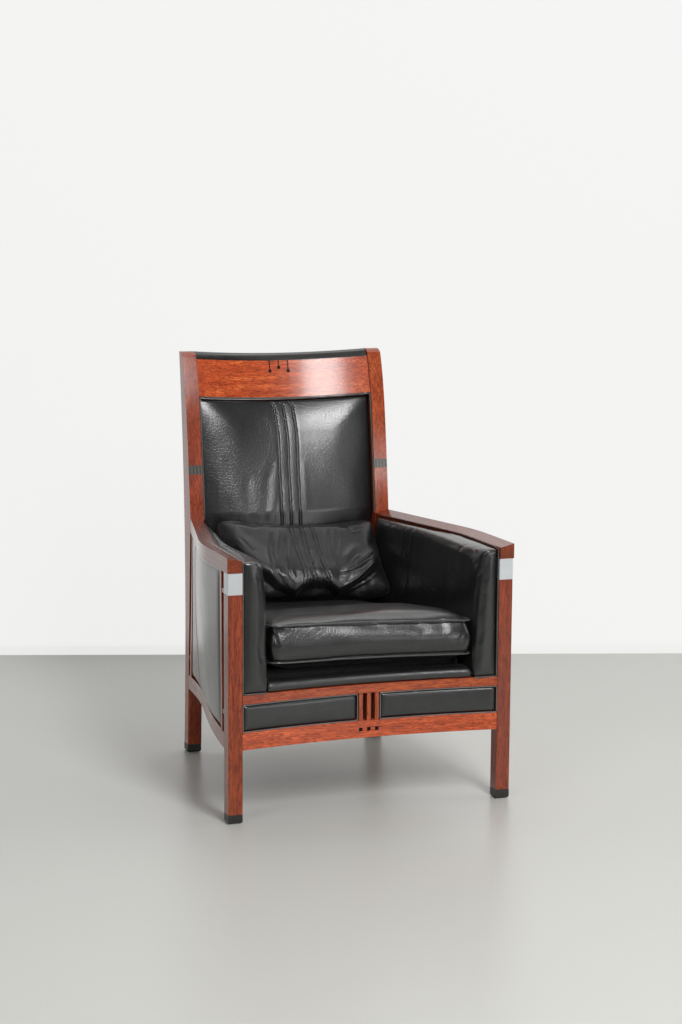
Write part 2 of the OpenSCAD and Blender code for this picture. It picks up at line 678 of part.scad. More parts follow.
// Crest rail, its dark cap and inlays
crest_line = 3;
crest_square = 8.5;
crest_line_short = 15;
crest_line_long = 25;
crest_inlay_depth = 1.5;
module crest_frame() {
    chair() translate([0, crest_y, crest_z]) rotate([-crest_lean, 0, 0]) children();
}
crest_sweep = 50;
module crest_band() {
    intersection() {
        translate([0, crest_bow - crest_radius, 0]) rotate([0, 0, 90 - crest_sweep / 2])
            rotate_extrude(angle = crest_sweep, $fn = bow_fn) translate([crest_radius, 0]) children();
        translate([-post_inner, -crest_radius / 2, -overrun])
            cube([2 * post_inner, crest_radius, crest_height + crest_cap + 2 * overrun]);
    }
}
function crest_at(x) = crest_bow - crest_radius + sqrt(crest_radius * crest_radius - x * x);
module crest_inlays_at(extra) {
    for (i = [-1:1]) {
        drop = i == 0 ? crest_line_short : crest_line_long;
        y = crest_at(i * channel_pitch) - extra;
        translate([i * channel_pitch - crest_line / 2, y, crest_height - drop])
            cube([crest_line, crest_inlay_depth + extra, drop]);
        translate([i * channel_pitch - crest_square / 2, y, crest_height - drop - crest_square])
            cube([crest_square, crest_inlay_depth + extra, crest_square]);
    }
}
module crest_rail_board() {
    color("#a14a2a") crest_frame() difference() {
        crest_band() square([crest_thick, crest_height]);
        crest_inlays_at(overrun);
    }
}
module crest_inlays_all() {
    color("#1b1a1a") crest_frame() crest_inlays_at(0);
}
crest_cap_shares = [[0, 0], [0.25, 0.55], [0.6, 0.85], [1, 1]];
module crest_cap_piece() {
    color("#1b1a1a") crest_frame() crest_band() translate([0, crest_height])
        polygon(concat([for (p = crest_cap_shares) [p[0] * crest_cap_roll, p[1] * crest_cap]],
            [[crest_thick + crest_cap_over, crest_cap], [crest_thick + crest_cap_over, 0]]));
}

// Back: lower rail, board, padded front and leather rear
back_rail_thick = 26;
back_rail_set = 4;
module back_rail() {
    color("#a14a2a") chair()
        translate([-post_inner, post_rear(rail_z) - back_rail_set - back_rail_thick, rail_z])
            cube([2 * post_inner, back_rail_thick, side_rail_height]);
}
back_low_gap = 12;
back_low = frame_top + back_low_gap;
back_skin_low = side_rail_top;
back_gap = 1;
back_pad_gap = 1;
pad_edge_set = 8;
hollow_top = 36;
hollow_fall = 0.14;
rear_set = 16;
rear_hollow = 38;
rear_hollow_power = 1.5;
back_board_thick = 8;
back_skin = 8;
function round_x(x) = 1 - pow(x / post_inner, 2);
function back_hollow(z) = hollow_top - hollow_fall * (crest_z - z);
function core_y(x, z) = post_rear(z) - rear_set + rear_hollow * round_x(x)
    * pow(clamp01((z - back_skin_low) / (crest_z - back_skin_low)), rear_hollow_power);
function pad_y(x, z) = post_front(z) + pad_edge_set + back_hollow(z) * round_x(x);
// Lower edge of the crest rail over a point of the back: it drops towards the middle
function crest_low(x) = crest_z - back_gap - (crest_at(x) + crest_thick) * sin(crest_lean);
groove = 4;
channel_half = 5;
channel_end_share = 0.02;
function groove_at(x) = groove
    * max([for (i = [-1:1]) max(0, 1 - abs(x - i * channel_pitch) / channel_half)]);
back_half_in = post_inner - back_gap;
function back_x(u) = mix(-back_half_in, back_half_in, u);
back_pad_roll = 14;
back_pad_edge_shares = [0.05, 0.035];
back_pad_rows = 9;
function pad_round_edge(u, w) = back_pad_roll
    * (1 - edge_round(u, back_pad_edge_shares[0]) * edge_round(w, back_pad_edge_shares[1]));
function back_pad_point(u, w) = let (x = back_x(u), z = mix(back_low, crest_low(x), w),
        sewn = min(w, 1 - w) > channel_end_share ? 1 : 0)
    [x, min(pad_y(x, z) + pad_round_edge(u, w) + groove_at(x) * sewn, core_y(x, z) - 2 * back_pad_gap), z];
function core_point(u, w, z0, off) = let (x = back_x(u), z = mix(z0, crest_low(x), w))
    [x, core_y(x, z) + off, z];
back_side_shares = [0, 0.01, 0.03, 0.06, 0.12, 0.2, 0.28, 0.36, 0.42];
channel_xs = [for (i = [-1:1]) for (d = [-1:1]) i * channel_pitch + d * channel_half];
back_us = concat(back_side_shares, [for (x = channel_xs) (1 + x / back_half_in) / 2],
    [for (i = [len(back_side_shares) - 1:-1:0]) 1 - back_side_shares[i]]);
module back_pad_form() {
    color("#1f1f21") chair() slab(function(u, w) back_pad_point(u, w),
        function(u, w) core_point(u, w, back_low, -back_pad_gap), back_us, with_edges(back_pad_rows));
}
module back_board_ply() {
    color("#caa878") chair() slab(function(u, w) core_point(u, w, back_skin_low + back_gap, 0),
        function(u, w) core_point(u, w, back_skin_low + back_gap, back_board_thick),
        with_edges(skin_columns), with_edges(skin_rows));
}
skin_edge_shares = [0.05, 0.04];
skin_thin_share = 0.4;
function skin_seat(u, w) = core_point(u, w, back_skin_low + back_gap, back_board_thick + soft_gap);
function skin_point(u, w) = let (
        lift = edge_round(u, skin_edge_shares[0]) * edge_round(w, skin_edge_shares[1]))
    skin_seat(u, w) + [0, back_skin * mix(skin_thin_share, 1, lift), 0];
module outer_back() {
    color("#232325") chair() slab(function(u, w) skin_seat(u, w), function(u, w) skin_point(u, w),
        with_edges(skin_columns), with_edges(skin_rows));
}
welt = 4.5;
welt_y_set = 3;
welt_steps = 12;
function welt_ring(x, z) = [for (a = [300:-60:0])
    [x + welt / 2 * cos(a), post_front(z) + welt_y_set + welt / 2 * sin(a), z]];
module back_welt_cord() {
    x = post_inner - welt / 2 - soft_gap;
    color("#151516") chair() both()
        loft([for (t = steps(welt_steps)) welt_ring(x, mix(elbow_z, crest_z - welt, t))]);
}

// Loose seat cushion: flat below, crowned above, a welt round its top and bottom edges
cushion_front_y = 15;
cushion_depth = floor_depth - cushion_front_y - cushion_rear_set;
cushion_skew = 10;
cushion_shift = 4;
cushion_lift_low = 6;
cushion_lift_top = 10;
cushion_low_roll = 17;
cushion_welt = 2.5;
cushion_corner = 26;
corner_steps = 4;
side_count = 8;
cushion_pull = 5;
cushion_straight = 120;
function cushion_half(y) = mix(cushion_width, cushion_back_width,
    clamp01((y - cushion_front_y - cushion_straight) / (cushion_depth - cushion_straight))) / 2;
// Unit outline with round corners, clockwise from above, its sides drawn in a little between the corners
function cushion_outline() = let (
        rx = 2 * cushion_corner / cushion_width, ry = 2 * cushion_corner / cushion_depth)
    [for (q = [0:3]) let (sx = q == 0 || q == 1 ? 1 : -1, sy = q == 0 || q == 3 ? 1 : -1)
        each concat([for (i = [0:corner_steps]) let (a = 90 - 90 * q - 90 * i / corner_steps)
            [sx * (1 - rx) + rx * cos(a), sy * (1 - ry) + ry * sin(a)]],
            [for (i = [1:side_count - 1]) let (t = mix(1, -1, i / side_count))
                q == 0 ? [1, t * (1 - ry)] : q == 1 ? [t * (1 - rx), -1]
                : q == 2 ? [-1, -t * (1 - ry)] : [-t * (1 - rx), 1]])];
side_share = 0.98;
function cushion_xy(p, s, grow) = let (u = p[0], v = p[1],
        y = cushion_front_y + cushion_depth / 2 * (1 + s * v),
        side = abs(u) > side_share ? 1 - v * v : 0, end = abs(v) > side_share ? 1 - u * u : 0)
    [cushion_shift + s * u * (cushion_half(y) + grow - cushion_pull * side),
     y - (v < 0 ? -1 : 1) * cushion_pull * end * s - cushion_skew * s * u * (1 - v) / 2];
function cushion_ring(s, grow, base, lift) = [for (o = cushion_outline()) let (p = cushion_xy(o, s, grow))
    [p[0], p[1], deck_top(p[1]) + soft_gap + base - lift * p[0] / (cushion_width / 2)]];
// Rings below and above the box: spread over the plan, height and sideways lift, in shares of the whole
cushion_low_shares = [[0.3, 0, 0], [0.86, 0, 0], [0.95, 0.3, 0.4], [0.985, 0.8, 1]];
cushion_top_shares = [[0.985, 0.15, 1], [0.93, 0.45, 0.9], [0.8, 0.8, 0.7], [0.55, 1, 0.4], [0.25, 1.05, 0]];
cushion_box_share = 0.99;
cushion_box_bulge = 3;
welt_seat = 5;
module seat_cushion_form() {
    low = cushion_low_roll;
    top = cushion_low_roll + cushion_box;
    color("#1f1f21") chair() loft(concat(
        [for (r = cushion_low_shares) cushion_ring(r[0], 0, low * r[1], cushion_lift_low * r[2])],
        [cushion_ring(1, cushion_welt, low, cushion_lift_low),
         cushion_ring(cushion_box_share, 0, low + welt_seat, cushion_lift_low),
         cushion_ring(1, cushion_box_bulge, (low + top) / 2, cushion_lift_low),
         cushion_ring(cushion_box_share, 0, top - welt_seat, cushion_lift_top),
         cushion_ring(1, cushion_welt, top, cushion_lift_top)],
        [for (r = cushion_top_shares)
            cushion_ring(r[0], 0, top + cushion_crown * r[1], cushion_lift_top * r[2])]));
}

// Loose lumbar pillow, leaning in the corner of the seat and the back
// The pillow's middle line, set from the rear of the posts' feet and from the deck's front edge
pillow_origin = [floor_depth, deck_front];
pillow_top_set = [-107, 290];
pillow_mid_set = [-141, 168];
pillow_low_set = [-267, 106];
pillow_top = pillow_origin + pillow_top_set;
pillow_mid = pillow_origin + pillow_mid_set;
pillow_low = pillow_origin + pillow_low_set;
pillow_rear_gap = 2;
section_count = 30;
function bez(a, b, c, t) = (1 - t) * (1 - t) * a + 2 * t * (1 - t) * b + t * t * c;
function bez_dir(a, b, c, t) = let (d = 2 * (1 - t) * (b - a) + 2 * t * (c - b)) d / norm(d);
pillow_lift = 9;
pillow_sag = 13;
pillow_sink = 0.9;
pillow_end = 0.86;
// Highest that the seat cushion reaches under a point of the pillow; its right half falls less
cushion_fall_share = 0.3;
cushion_peak = cushion_crown * cushion_top_shares[len(cushion_top_shares) - 1][1];
function cushion_top(x, y) = deck_top(y) + soft_gap + cushion_low_roll + cushion_box + cushion_peak
    - pillow_sink - cushion_lift_top * (x < 0 ? 1 : cushion_fall_share) * x / (cushion_width / 2);
// How full the pillow is towards its ends, at its ends, and from its top to its bottom
pillow_end_power = 5;
pillow_full_power = 0.45;
pillow_end_share = 0.12;
pillow_slim_shares = [0.72, 1.05];
pillow_round_power = 0.8;
pillow_rear_share = 1.15;
turn = 360;
function pillow_full(e) = pow(max(0, 1 - pow(e, pillow_end_power)), pillow_full_power);
function pillow_half(a, t, full) = pillow_thick / 2 * pow(abs(sin(a)), pillow_round_power)
    * mix(pillow_end_share, 1, full) * mix(pillow_slim_shares[0], pillow_slim_shares[1], t);
function pillow_point(x, a) = let (e = abs(x) / (pillow_width / 2), full = pillow_full(e),
        t = (1 - cos(a) * mix(pillow_end, 1, full)) / 2, m = bez(pillow_top, pillow_mid, pillow_low, t),
        d = bez_dir(pillow_top, pillow_mid, pillow_low, t), n = [d[1], -d[0]],
        thick = pillow_half(a, t, full) - (sin(a) > 0 ? groove_at(x) * sqrt(sin(a)) : 0),
        p = m + n * thick * (sin(a) > 0 ? 1 : -pillow_rear_share),
        z = p[1] - pillow_lift * x / (pillow_width / 2) - pillow_sag * (1 - e * e) * (1 - t))
    [x, min(p[0], pad_y(x, z) - pillow_rear_gap), max(z, cushion_top(x, p[0]) + soft_gap)];
pillow_side_shares = [1, 0.985, 0.95, 0.88, 0.78, 0.65, 0.5, 0.36, 0.24];
pillow_xs = let (h = pillow_width / 2, n = len(pillow_side_shares)) concat(
    [for (s = pillow_side_shares) -h * s], channel_xs, [for (i = [n - 1:-1:0]) h * pillow_side_shares[i]]);
module lumbar_pillow_form() {
    color("#202023") chair() loft([for (x = pillow_xs) [for (i = [0:section_count - 1])
        pillow_point(x, -turn * i / section_count)]]);
}

left() front_leg();  // front_leg_left
right() front_leg();  // front_leg_right
left() back_post();  // back_post_left
right() back_post();  // back_post_right
left() foot_cap_front();  // foot_cap_front_left
foot_cap_front();  // foot_cap_front_right
left() foot_cap_back();  // foot_cap_back_left
foot_cap_back();  // foot_cap_back_right
foot_pins_all();  // foot_pins
left() leg_band();  // leg_band_left
leg_band();  // leg_band_right
left() arm();  // arm_left
arm();  // arm_right
arm_dowels_all();  // arm_dowels
left() side_rail();  // side_rail_left
side_rail();  // side_rail_right
left() side_stiles();  // side_stiles_left
side_stiles();  // side_stiles_right
left() side_bars();  // side_bars_left
side_bars();  // side_bars_right
left() side_panel();  // side_panel_left
side_panel();  // side_panel_right
left() side_board();  // side_board_left
side_board();  // side_board_right
left() arm_pad();  // arm_pad_left
arm_pad();  // arm_pad_right
front_rail_low();  // front_rail_lower
front_rail_up();  // front_rail_upper
front_slats_all();  // front_slats
front_inlays_all();  // front_inlays
left() front_panel();  // front_panel_left
front_panel();  // front_panel_right
left() front_bead();  // front_bead_left
front_bead();  // front_bead_right
left() seat_frame_side();  // seat_frame_left
seat_frame_side();  // seat_frame_right
seat_frame_front_rail();  // seat_frame_front
seat_frame_back_rail();  // seat_frame_back
corner_blocks_all();  // corner_blocks
block_screws_all();  // block_screws
seat_webbing_all();  // seat_webbing
seat_deck_pad();  // seat_deck
seat_bolster_roll();  // seat_bolster
crest_rail_board();  // crest_rail
crest_cap_piece();  // crest_cap_strip
crest_inlays_all();  // crest_inlays
left() post_inlay();  // post_inlay_left
post_inlay();  // post_inlay_right
back_rail();  // back_rail_lower
back_board_ply();  // back_board
back_pad_form();  // back_pad
back_welt_cord();  // back_welt
outer_back();  // outer_back_panel
seat_cushion_form();  // seat_cushion
lumbar_pillow_form();  // lumbar_pillow
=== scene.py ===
"""Looks of a high-backed armchair: a hardwood frame, leather pads and panels, a loose cushion and a loose pillow.

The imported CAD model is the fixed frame. Each class below dresses one sub-assembly of the chair around it.
Lengths inside the classes are millimetres in the chair's own plan, measured back from the front legs.
"""
import logging
import math
import random
from dataclasses import dataclass, field
from enum import Enum
from typing import Callable, Iterable, Sequence

import bmesh
import bpy
from mathutils import Matrix, Vector, noise
from mathutils.bvhtree import BVHTree
from mathutils.kdtree import KDTree


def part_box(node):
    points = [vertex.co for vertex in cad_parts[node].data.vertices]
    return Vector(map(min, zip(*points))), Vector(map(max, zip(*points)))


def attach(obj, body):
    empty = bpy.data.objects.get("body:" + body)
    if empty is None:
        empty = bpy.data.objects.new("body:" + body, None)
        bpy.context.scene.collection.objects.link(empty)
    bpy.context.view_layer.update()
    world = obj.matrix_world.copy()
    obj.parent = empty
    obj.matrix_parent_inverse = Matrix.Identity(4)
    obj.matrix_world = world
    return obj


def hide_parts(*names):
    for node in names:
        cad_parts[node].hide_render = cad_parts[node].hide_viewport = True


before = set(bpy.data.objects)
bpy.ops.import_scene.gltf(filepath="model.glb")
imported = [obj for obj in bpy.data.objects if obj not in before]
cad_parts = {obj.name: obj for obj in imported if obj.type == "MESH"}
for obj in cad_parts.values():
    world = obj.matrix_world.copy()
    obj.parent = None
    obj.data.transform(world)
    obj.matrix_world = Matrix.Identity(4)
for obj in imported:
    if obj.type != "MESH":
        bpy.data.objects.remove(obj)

log = logging.getLogger("armchair")
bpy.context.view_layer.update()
MM = 0.001
PHOTO_WIDTH, PHOTO_HEIGHT = 682, 1024
FRONT_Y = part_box("front_leg_right")[0].y / MM

Point = tuple[float, float]


def mix(a: float, b: float, t: float) -> float:
    """The value a share t of the way from a to b."""
    return a + (b - a) * t


def clamp(t: float, low: float = 0.0, high: float = 1.0) -> float:
    """t held between low and high."""
    return max(low, min(high, t))


def ease(t: float) -> float:
    """A smooth step from 0 to 1 as t goes from 0 to 1."""
    t = clamp(t)
    return t * t * (3 - 2 * t)


def spot(x: float, y: float, z: float) -> Vector:
    """A point of the chair's plan, in millimetres, as a point of the row frame in metres."""
    return Vector((x, y + FRONT_Y, z)) * MM


def bowed(x: float, half: float, depth: float) -> float:
    """Height at x of a round arch.

    Args:
        x: Distance from its middle.
        half: Half its span.
        depth: Its rise in the middle.

    Returns:
        The height over the arch's ends.
    """
    radius = (half**2 + depth**2) / (2 * depth)
    return depth - radius + math.sqrt(radius * radius - x * x)


# --------------------------------------------------------------------------------------------------------------------
# Shapes that the frame's pieces share


@dataclass(frozen=True)
class ChairLines:
    """Outlines of the CAD frame that the leather pieces follow, in millimetres."""

    foot_y: float = 671.0
    elbow_y: float = 635.0
    elbow_z: float = 652.0
    shoulder_z: float = 1062.0
    top_sweep: float = 71.0
    rear_y: float = 690.0
    rear_turn: float = 430.0
    foot_kick: float = 17.0
    top_kick: float = 50.0
    post_inner: float = 242.5
    crest_y: float = 676.9
    crest_z: float = 964.0
    crest_bow: float = 39.0
    crest_lean: float = 16.6
    leg_inner: float = 330.0
    arm_half: float = 368.0
    arm_turn: float = 170.0
    arm_straight: float = 300.0
    arm_taper: float = 0.22
    arm_bottom: float = 609.0
    rail_low: float = 217.5
    rail_half: float = 366.0
    rail_near: float = 36.0
    rail_length: float = 625.1
    rail_taper: float = 86.0
    rail_wave: float = 6.0
    rail_bow: float = 26.0

    def post_front(self, z: float) -> float:
        """Distance back of the posts' front faces at height z.

        Args:
            z: Height in millimetres.

        Returns:
            The distance in millimetres.
        """
        if z < self.elbow_z:
            return self.foot_y - (self.foot_y - self.elbow_y) * z / self.elbow_z
        s = (z - self.elbow_z) / (self.shoulder_z - self.elbow_z)
        return self.elbow_y + self.top_sweep * (0.7 * s + 0.3 * s**5)

    def post_rear(self, z: float) -> float:
        """Distance back of the posts' rear faces at height z.

        Args:
            z: Height in millimetres.

        Returns:
            The distance in millimetres.
        """
        if z < self.rear_turn:
            return self.rear_y + self.foot_kick * ((self.rear_turn - z) / self.rear_turn) ** 2
        return self.rear_y + self.top_kick * ((z - self.rear_turn) / 650) ** 2

    def arm_out(self, y: float) -> float:
        """Half width over the arms at distance y.

        Args:
            y: Distance back in millimetres.

        Returns:
            The half width in millimetres.
        """
        bend = self.arm_straight - self.arm_turn
        if y < self.arm_turn:
            return self.arm_half
        if y < self.arm_straight:
            return self.arm_half - self.arm_taper * (y - self.arm_turn) ** 2 / (2 * bend)
        return self.arm_half - self.arm_taper * (bend / 2 + y - self.arm_straight)

    def rail_out(self, y: float) -> float:
        """Half width over the side rails at distance y."""
        t = (y - self.rail_near) / self.rail_length
        return self.rail_half - self.rail_taper * t + self.rail_wave * math.sin(2 * math.pi * clamp(t))

    def side_out(self, y: float, z: float) -> float:
        """Half width over a side between its rail and its arm."""
        share = clamp((z - self.rail_low) / (self.arm_bottom - self.rail_low))
        return mix(self.rail_out(y), self.arm_out(y) - 2, share)

    def crest_front(self, x: float) -> float:
        """Set-back of the crest rail's front face, in the crest's own leaning frame."""
        return bowed(x, self.post_inner, self.crest_bow)

    def rail_front(self, x: float) -> float:
        """Set-back of the bowed front rail's face."""
        return bowed(x, self.leg_inner, self.rail_bow)


LINES = ChairLines()


class Grain(Enum):
    """Direction in which the wood's grain runs; its value is the stretch along x, y and z."""

    UP = (1.0, 1.0, 0.045)
    ALONG = (1.0, 0.045, 1.0)
    ACROSS = (0.045, 1.0, 1.0)


# --------------------------------------------------------------------------------------------------------------------
# Finishes


class Nodes:
    """A small builder of shader nodes."""

    def __init__(self, name: str) -> None:
        """Starts an empty node material called name.

        Args:
            name: Name of the material.
        """
        self.material = bpy.data.materials.new(name)
        self.material.use_nodes = True
        self.tree = self.material.node_tree
        self.tree.nodes.clear()
        self.output = self.add("ShaderNodeOutputMaterial")
        self.shader = self.add("ShaderNodeBsdfPrincipled")
        self.link(self.shader.outputs["BSDF"], self.output.inputs["Surface"])

    def add(self, kind: str, **inputs: object) -> bpy.types.Node:
        """Adds a node of a kind and sets its named inputs.

        Args:
            kind: Its type.
            inputs: Values of its sockets, with _ for a space in a name.

        Returns:
            The node.
        """
        node = self.tree.nodes.new(kind)
        for key, value in inputs.items():
            node.inputs[key.replace("_", " ")].default_value = value
        return node

    def link(self, source: bpy.types.NodeSocket, target: bpy.types.NodeSocket) -> None:
        """Joins an output to an input."""
        self.tree.links.new(source, target)

    def place(self, scale: Sequence[float], shift: Sequence[float] = (0, 0, 0)) -> bpy.types.NodeSocket:
        """Object coordinates, scaled and shifted.

        Args:
            scale: Scale along x, y and z.
            shift: Shift along x, y and z.

        Returns:
            The output socket.
        """
        where = self.add("ShaderNodeTexCoord")
        turn = self.add("ShaderNodeMapping", Scale=scale, Location=shift)
        self.link(where.outputs["Object"], turn.inputs["Vector"])
        return turn.outputs["Vector"]

    def noise(self, vector: bpy.types.NodeSocket, scale: float, detail: float = 2.0, rough: float = 0.5,
              distortion: float = 0.0) -> bpy.types.NodeSocket:
        """A noise pattern's value at vector.

        Args:
            vector: Where the pattern is read.
            scale: Its scale.
            detail: Its detail.
            rough: Its roughness.
            distortion: Its distortion.

        Returns:
            The output socket.
        """
        node = self.add("ShaderNodeTexNoise", Scale=scale, Detail=detail, Roughness=rough, Distortion=distortion)
        self.link(vector, node.inputs["Vector"])
        return node.outputs["Fac"]

    def cells(self, vector: bpy.types.NodeSocket, scale: float, feature: str = "F1") -> bpy.types.NodeSocket:
        """A cell pattern's distance at vector.

        Args:
            vector: Where the pattern is read.
            scale: Its scale.
            feature: Which distance it gives.

        Returns:
            The output socket.
        """
        node = self.add("ShaderNodeTexVoronoi", Scale=scale)
        node.feature = feature
        self.link(vector, node.inputs["Vector"])
        return node.outputs["Distance"]

    def span(self, value: bpy.types.NodeSocket, low: float, high: float, to_low: float = 0.0,
             to_high: float = 1.0) -> bpy.types.NodeSocket:
        """value taken from low..high to to_low..to_high, and held there.

        Args:
            value: The value.
            low: Lower end it is taken from.
            high: Upper end it is taken from.
            to_low: What the lower end becomes.
            to_high: What the upper end becomes.

        Returns:
            The output socket.
        """
        node = self.add("ShaderNodeMapRange")
        for index, number in enumerate((low, high, to_low, to_high), start=1):
            node.inputs[index].default_value = number
        self.link(value, node.inputs[0])
        return node.outputs[0]

    def math(self, kind: str, a: bpy.types.NodeSocket, b: bpy.types.NodeSocket | float) -> bpy.types.NodeSocket:
        """The result of a sum or product of two values.

        Args:
            kind: The operation.
            a: The first value.
            b: The second value, a socket or a number.

        Returns:
            The output socket.
        """
        node = self.add("ShaderNodeMath")
        node.operation = kind
        self.link(a, node.inputs[0])
        if isinstance(b, (int, float)):
            node.inputs[1].default_value = b
        else:
            self.link(b, node.inputs[1])
        return node.outputs[0]

    def ramp(self, value: bpy.types.NodeSocket,
             stops: Sequence[tuple[float, Sequence[float]]]) -> bpy.types.NodeSocket:
        """A colour ramp over value.

        Args:
            value: The value.
            stops: Positions and their colours.

        Returns:
            The output socket.
        """
        node = self.add("ShaderNodeValToRGB")
        elements = node.color_ramp.elements
        while len(elements) < len(stops):
            elements.new(0.5)
        for element, (position, colour) in zip(elements, stops):
            element.position = position
            element.color = (*colour, 1)
        self.link(value, node.inputs["Fac"])
        return node.outputs["Color"]

    def blend(self, factor: bpy.types.NodeSocket, a: bpy.types.NodeSocket | Sequence[float],
              b: bpy.types.NodeSocket | Sequence[float]) -> bpy.types.NodeSocket:
        """Two colours mixed by factor.

        Args:
            factor: Share of the second colour.
            a: The first colour, a socket or a triple.
            b: The second colour, a socket or a triple.

        Returns:
            The output socket.
        """
        node = self.add("ShaderNodeMix")
        node.data_type = "RGBA"
        self.link(factor, node.inputs["Factor"])
        for socket, colour in ((node.inputs[6], a), (node.inputs[7], b)):
            if isinstance(colour, bpy.types.NodeSocket):
                self.link(colour, socket)
            else:
                socket.default_value = (*colour, 1)
        return node.outputs[2]

    def bump(self, height: bpy.types.NodeSocket, strength: float, distance: float,
             under: bpy.types.NodeSocket | None = None) -> bpy.types.NodeSocket:
        """A bump from height, over another bump where one is given.

        Args:
            height: The height.
            strength: Its strength.
            distance: Its distance in metres.
            under: A bump that lies under it.

        Returns:
            The output socket.
        """
        node = self.add("ShaderNodeBump", Strength=strength, Distance=distance)
        self.link(height, node.inputs["Height"])
        if under is not None:
            self.link(under, node.inputs["Normal"])
        return node.outputs["Normal"]

    def set(self, **values: object) -> None:
        """Sets the shader's own sockets, or links a socket to them.

        Args:
            values: Values or output sockets, with _ for a space in a socket's name.
        """
        for key, value in values.items():
            socket = self.shader.inputs[key.replace("_", " ")]
            if isinstance(value, bpy.types.NodeSocket):
                self.link(value, socket)
            else:
                socket.default_value = value


@dataclass(frozen=True)
class WoodFinish:
    """Polished reddish hardwood with fine dark pores under a clear lacquer."""

    name: str
    grain: Grain
    shift: tuple[float, float, float] = (0.0, 0.0, 0.0)
    dark: tuple[float, float, float] = (0.200, 0.030, 0.010)
    middle: tuple[float, float, float] = (0.370, 0.062, 0.017)
    light: tuple[float, float, float] = (0.510, 0.118, 0.033)
    figure: float = 9.0
    swirl: float = 1.2
    roughness: float = 0.3
    tone: float = 1.0

    def build(self) -> bpy.types.Material:
        """Makes the material.

        Returns:
            The node material, with its grain along the piece.
        """
        n = Nodes(self.name)
        dark, middle, light = (tuple(c * self.tone for c in tint) for tint in (self.dark, self.middle, self.light))
        along = n.place(self.grain.value, self.shift)
        short = n.place(tuple(max(v, 0.12) for v in self.grain.value), self.shift)
        figure = n.noise(along, self.figure, 4, 0.55, self.swirl)
        flame = n.noise(short, 60, 4, 0.65, self.swirl)
        streak = n.noise(along, 210, 3, 0.65, 0.6)
        body = n.ramp(n.math("ADD", n.math("MULTIPLY", figure, 0.55), n.math("MULTIPLY", flame, 0.45)),
                      [(0.35, dark), (0.5, middle), (0.67, light)])
        body = n.blend(n.span(streak, 0.42, 0.56, 0.66, 0.0), body, dark)
        fine = n.noise(short, 460, 2, 0.6, 0.3)
        pores = n.span(fine, 0.5, 0.66, 0.0, 0.8)
        colour = n.blend(pores, body, tuple(c * 0.45 for c in dark))
        height = n.math("SUBTRACT", n.span(streak, 0.38, 0.62), pores)
        n.set(Base_Color=colour, Roughness=n.span(flame, 0.3, 0.7, self.roughness + 0.04, self.roughness - 0.04),
              Specular_IOR_Level=0.1, Coat_Weight=0.82, Coat_Roughness=0.17, Coat_IOR=1.46,
              Normal=n.bump(height, 0.15, 0.0003))
        return n.material


@dataclass(frozen=True)
class LeatherFinish:
    """Black leather: a fine grain, soft creases and a soft gloss."""

    name: str
    base: tuple[float, float, float] = (0.0036, 0.0039, 0.0040)
    worn: tuple[float, float, float] = (0.0066, 0.0072, 0.0070)
    roughness: float = 0.37
    grain: float = 760.0
    crease: float = 0.35
    polish: float = 0.95
    sheen: float = 0.23

    def build(self) -> bpy.types.Material:
        """Makes the material.

        Returns:
            The node material of this leather.
        """
        n = Nodes(self.name)
        where = n.place((1, 1, 1))
        cloud = n.noise(where, 14, 3, 0.6)
        colour = n.blend(n.span(cloud, 0.35, 0.7), self.base, self.worn)
        pebble = n.cells(where, self.grain)
        fine = n.noise(where, self.grain * 1.7, 2, 0.6)
        knobs = n.noise(where, 300, 2, 0.6)
        folds = n.cells(n.place((1, 1, 1), (3.1, 1.7, 0.4)), 130, "DISTANCE_TO_EDGE")
        soft = n.noise(where, 60, 4, 0.65, 0.6)
        first = n.bump(n.math("MULTIPLY", n.span(folds, 0, 0.12), soft), self.crease, 0.0005)
        first = n.bump(knobs, 0.1, 0.0005, first)
        second = n.bump(n.math("ADD", pebble, fine), 0.22, 0.0002, first)
        rough = n.span(n.math("ADD", cloud, n.math("MULTIPLY", pebble, 0.5)), 0.4, 1.1,
                       self.roughness - 0.05, self.roughness + 0.08)
        n.set(Base_Color=colour, Roughness=rough, Specular_IOR_Level=0.32, Coat_Weight=self.polish,
              Coat_Roughness=self.sheen, Coat_IOR=1.55, Sheen_Weight=0.04, Sheen_Roughness=0.35, Normal=second,
              Coat_Normal=first)
        return n.material


@dataclass(frozen=True)
class MetalFinish:
    """Satin metal with a fine brushed line."""

    name: str
    colour: tuple[float, float, float]
    roughness: float
    brush: tuple[float, float, float] = (1.0, 1.0, 30.0)

    def build(self) -> bpy.types.Material:
        """Makes the material.

        Returns:
            The node material of this metal.
        """
        n = Nodes(self.name)
        line = n.noise(n.place(self.brush), 90, 3, 0.6)
        cloud = n.noise(n.place((1, 1, 1)), 25, 3)
        dull = tuple(c * 0.86 for c in self.colour)
        n.set(Base_Color=n.blend(cloud, self.colour, dull), Metallic=1.0,
              Roughness=n.span(line, 0.3, 0.7, self.roughness - 0.05, self.roughness + 0.08),
              Normal=n.bump(line, 0.06, 0.0002))
        return n.material


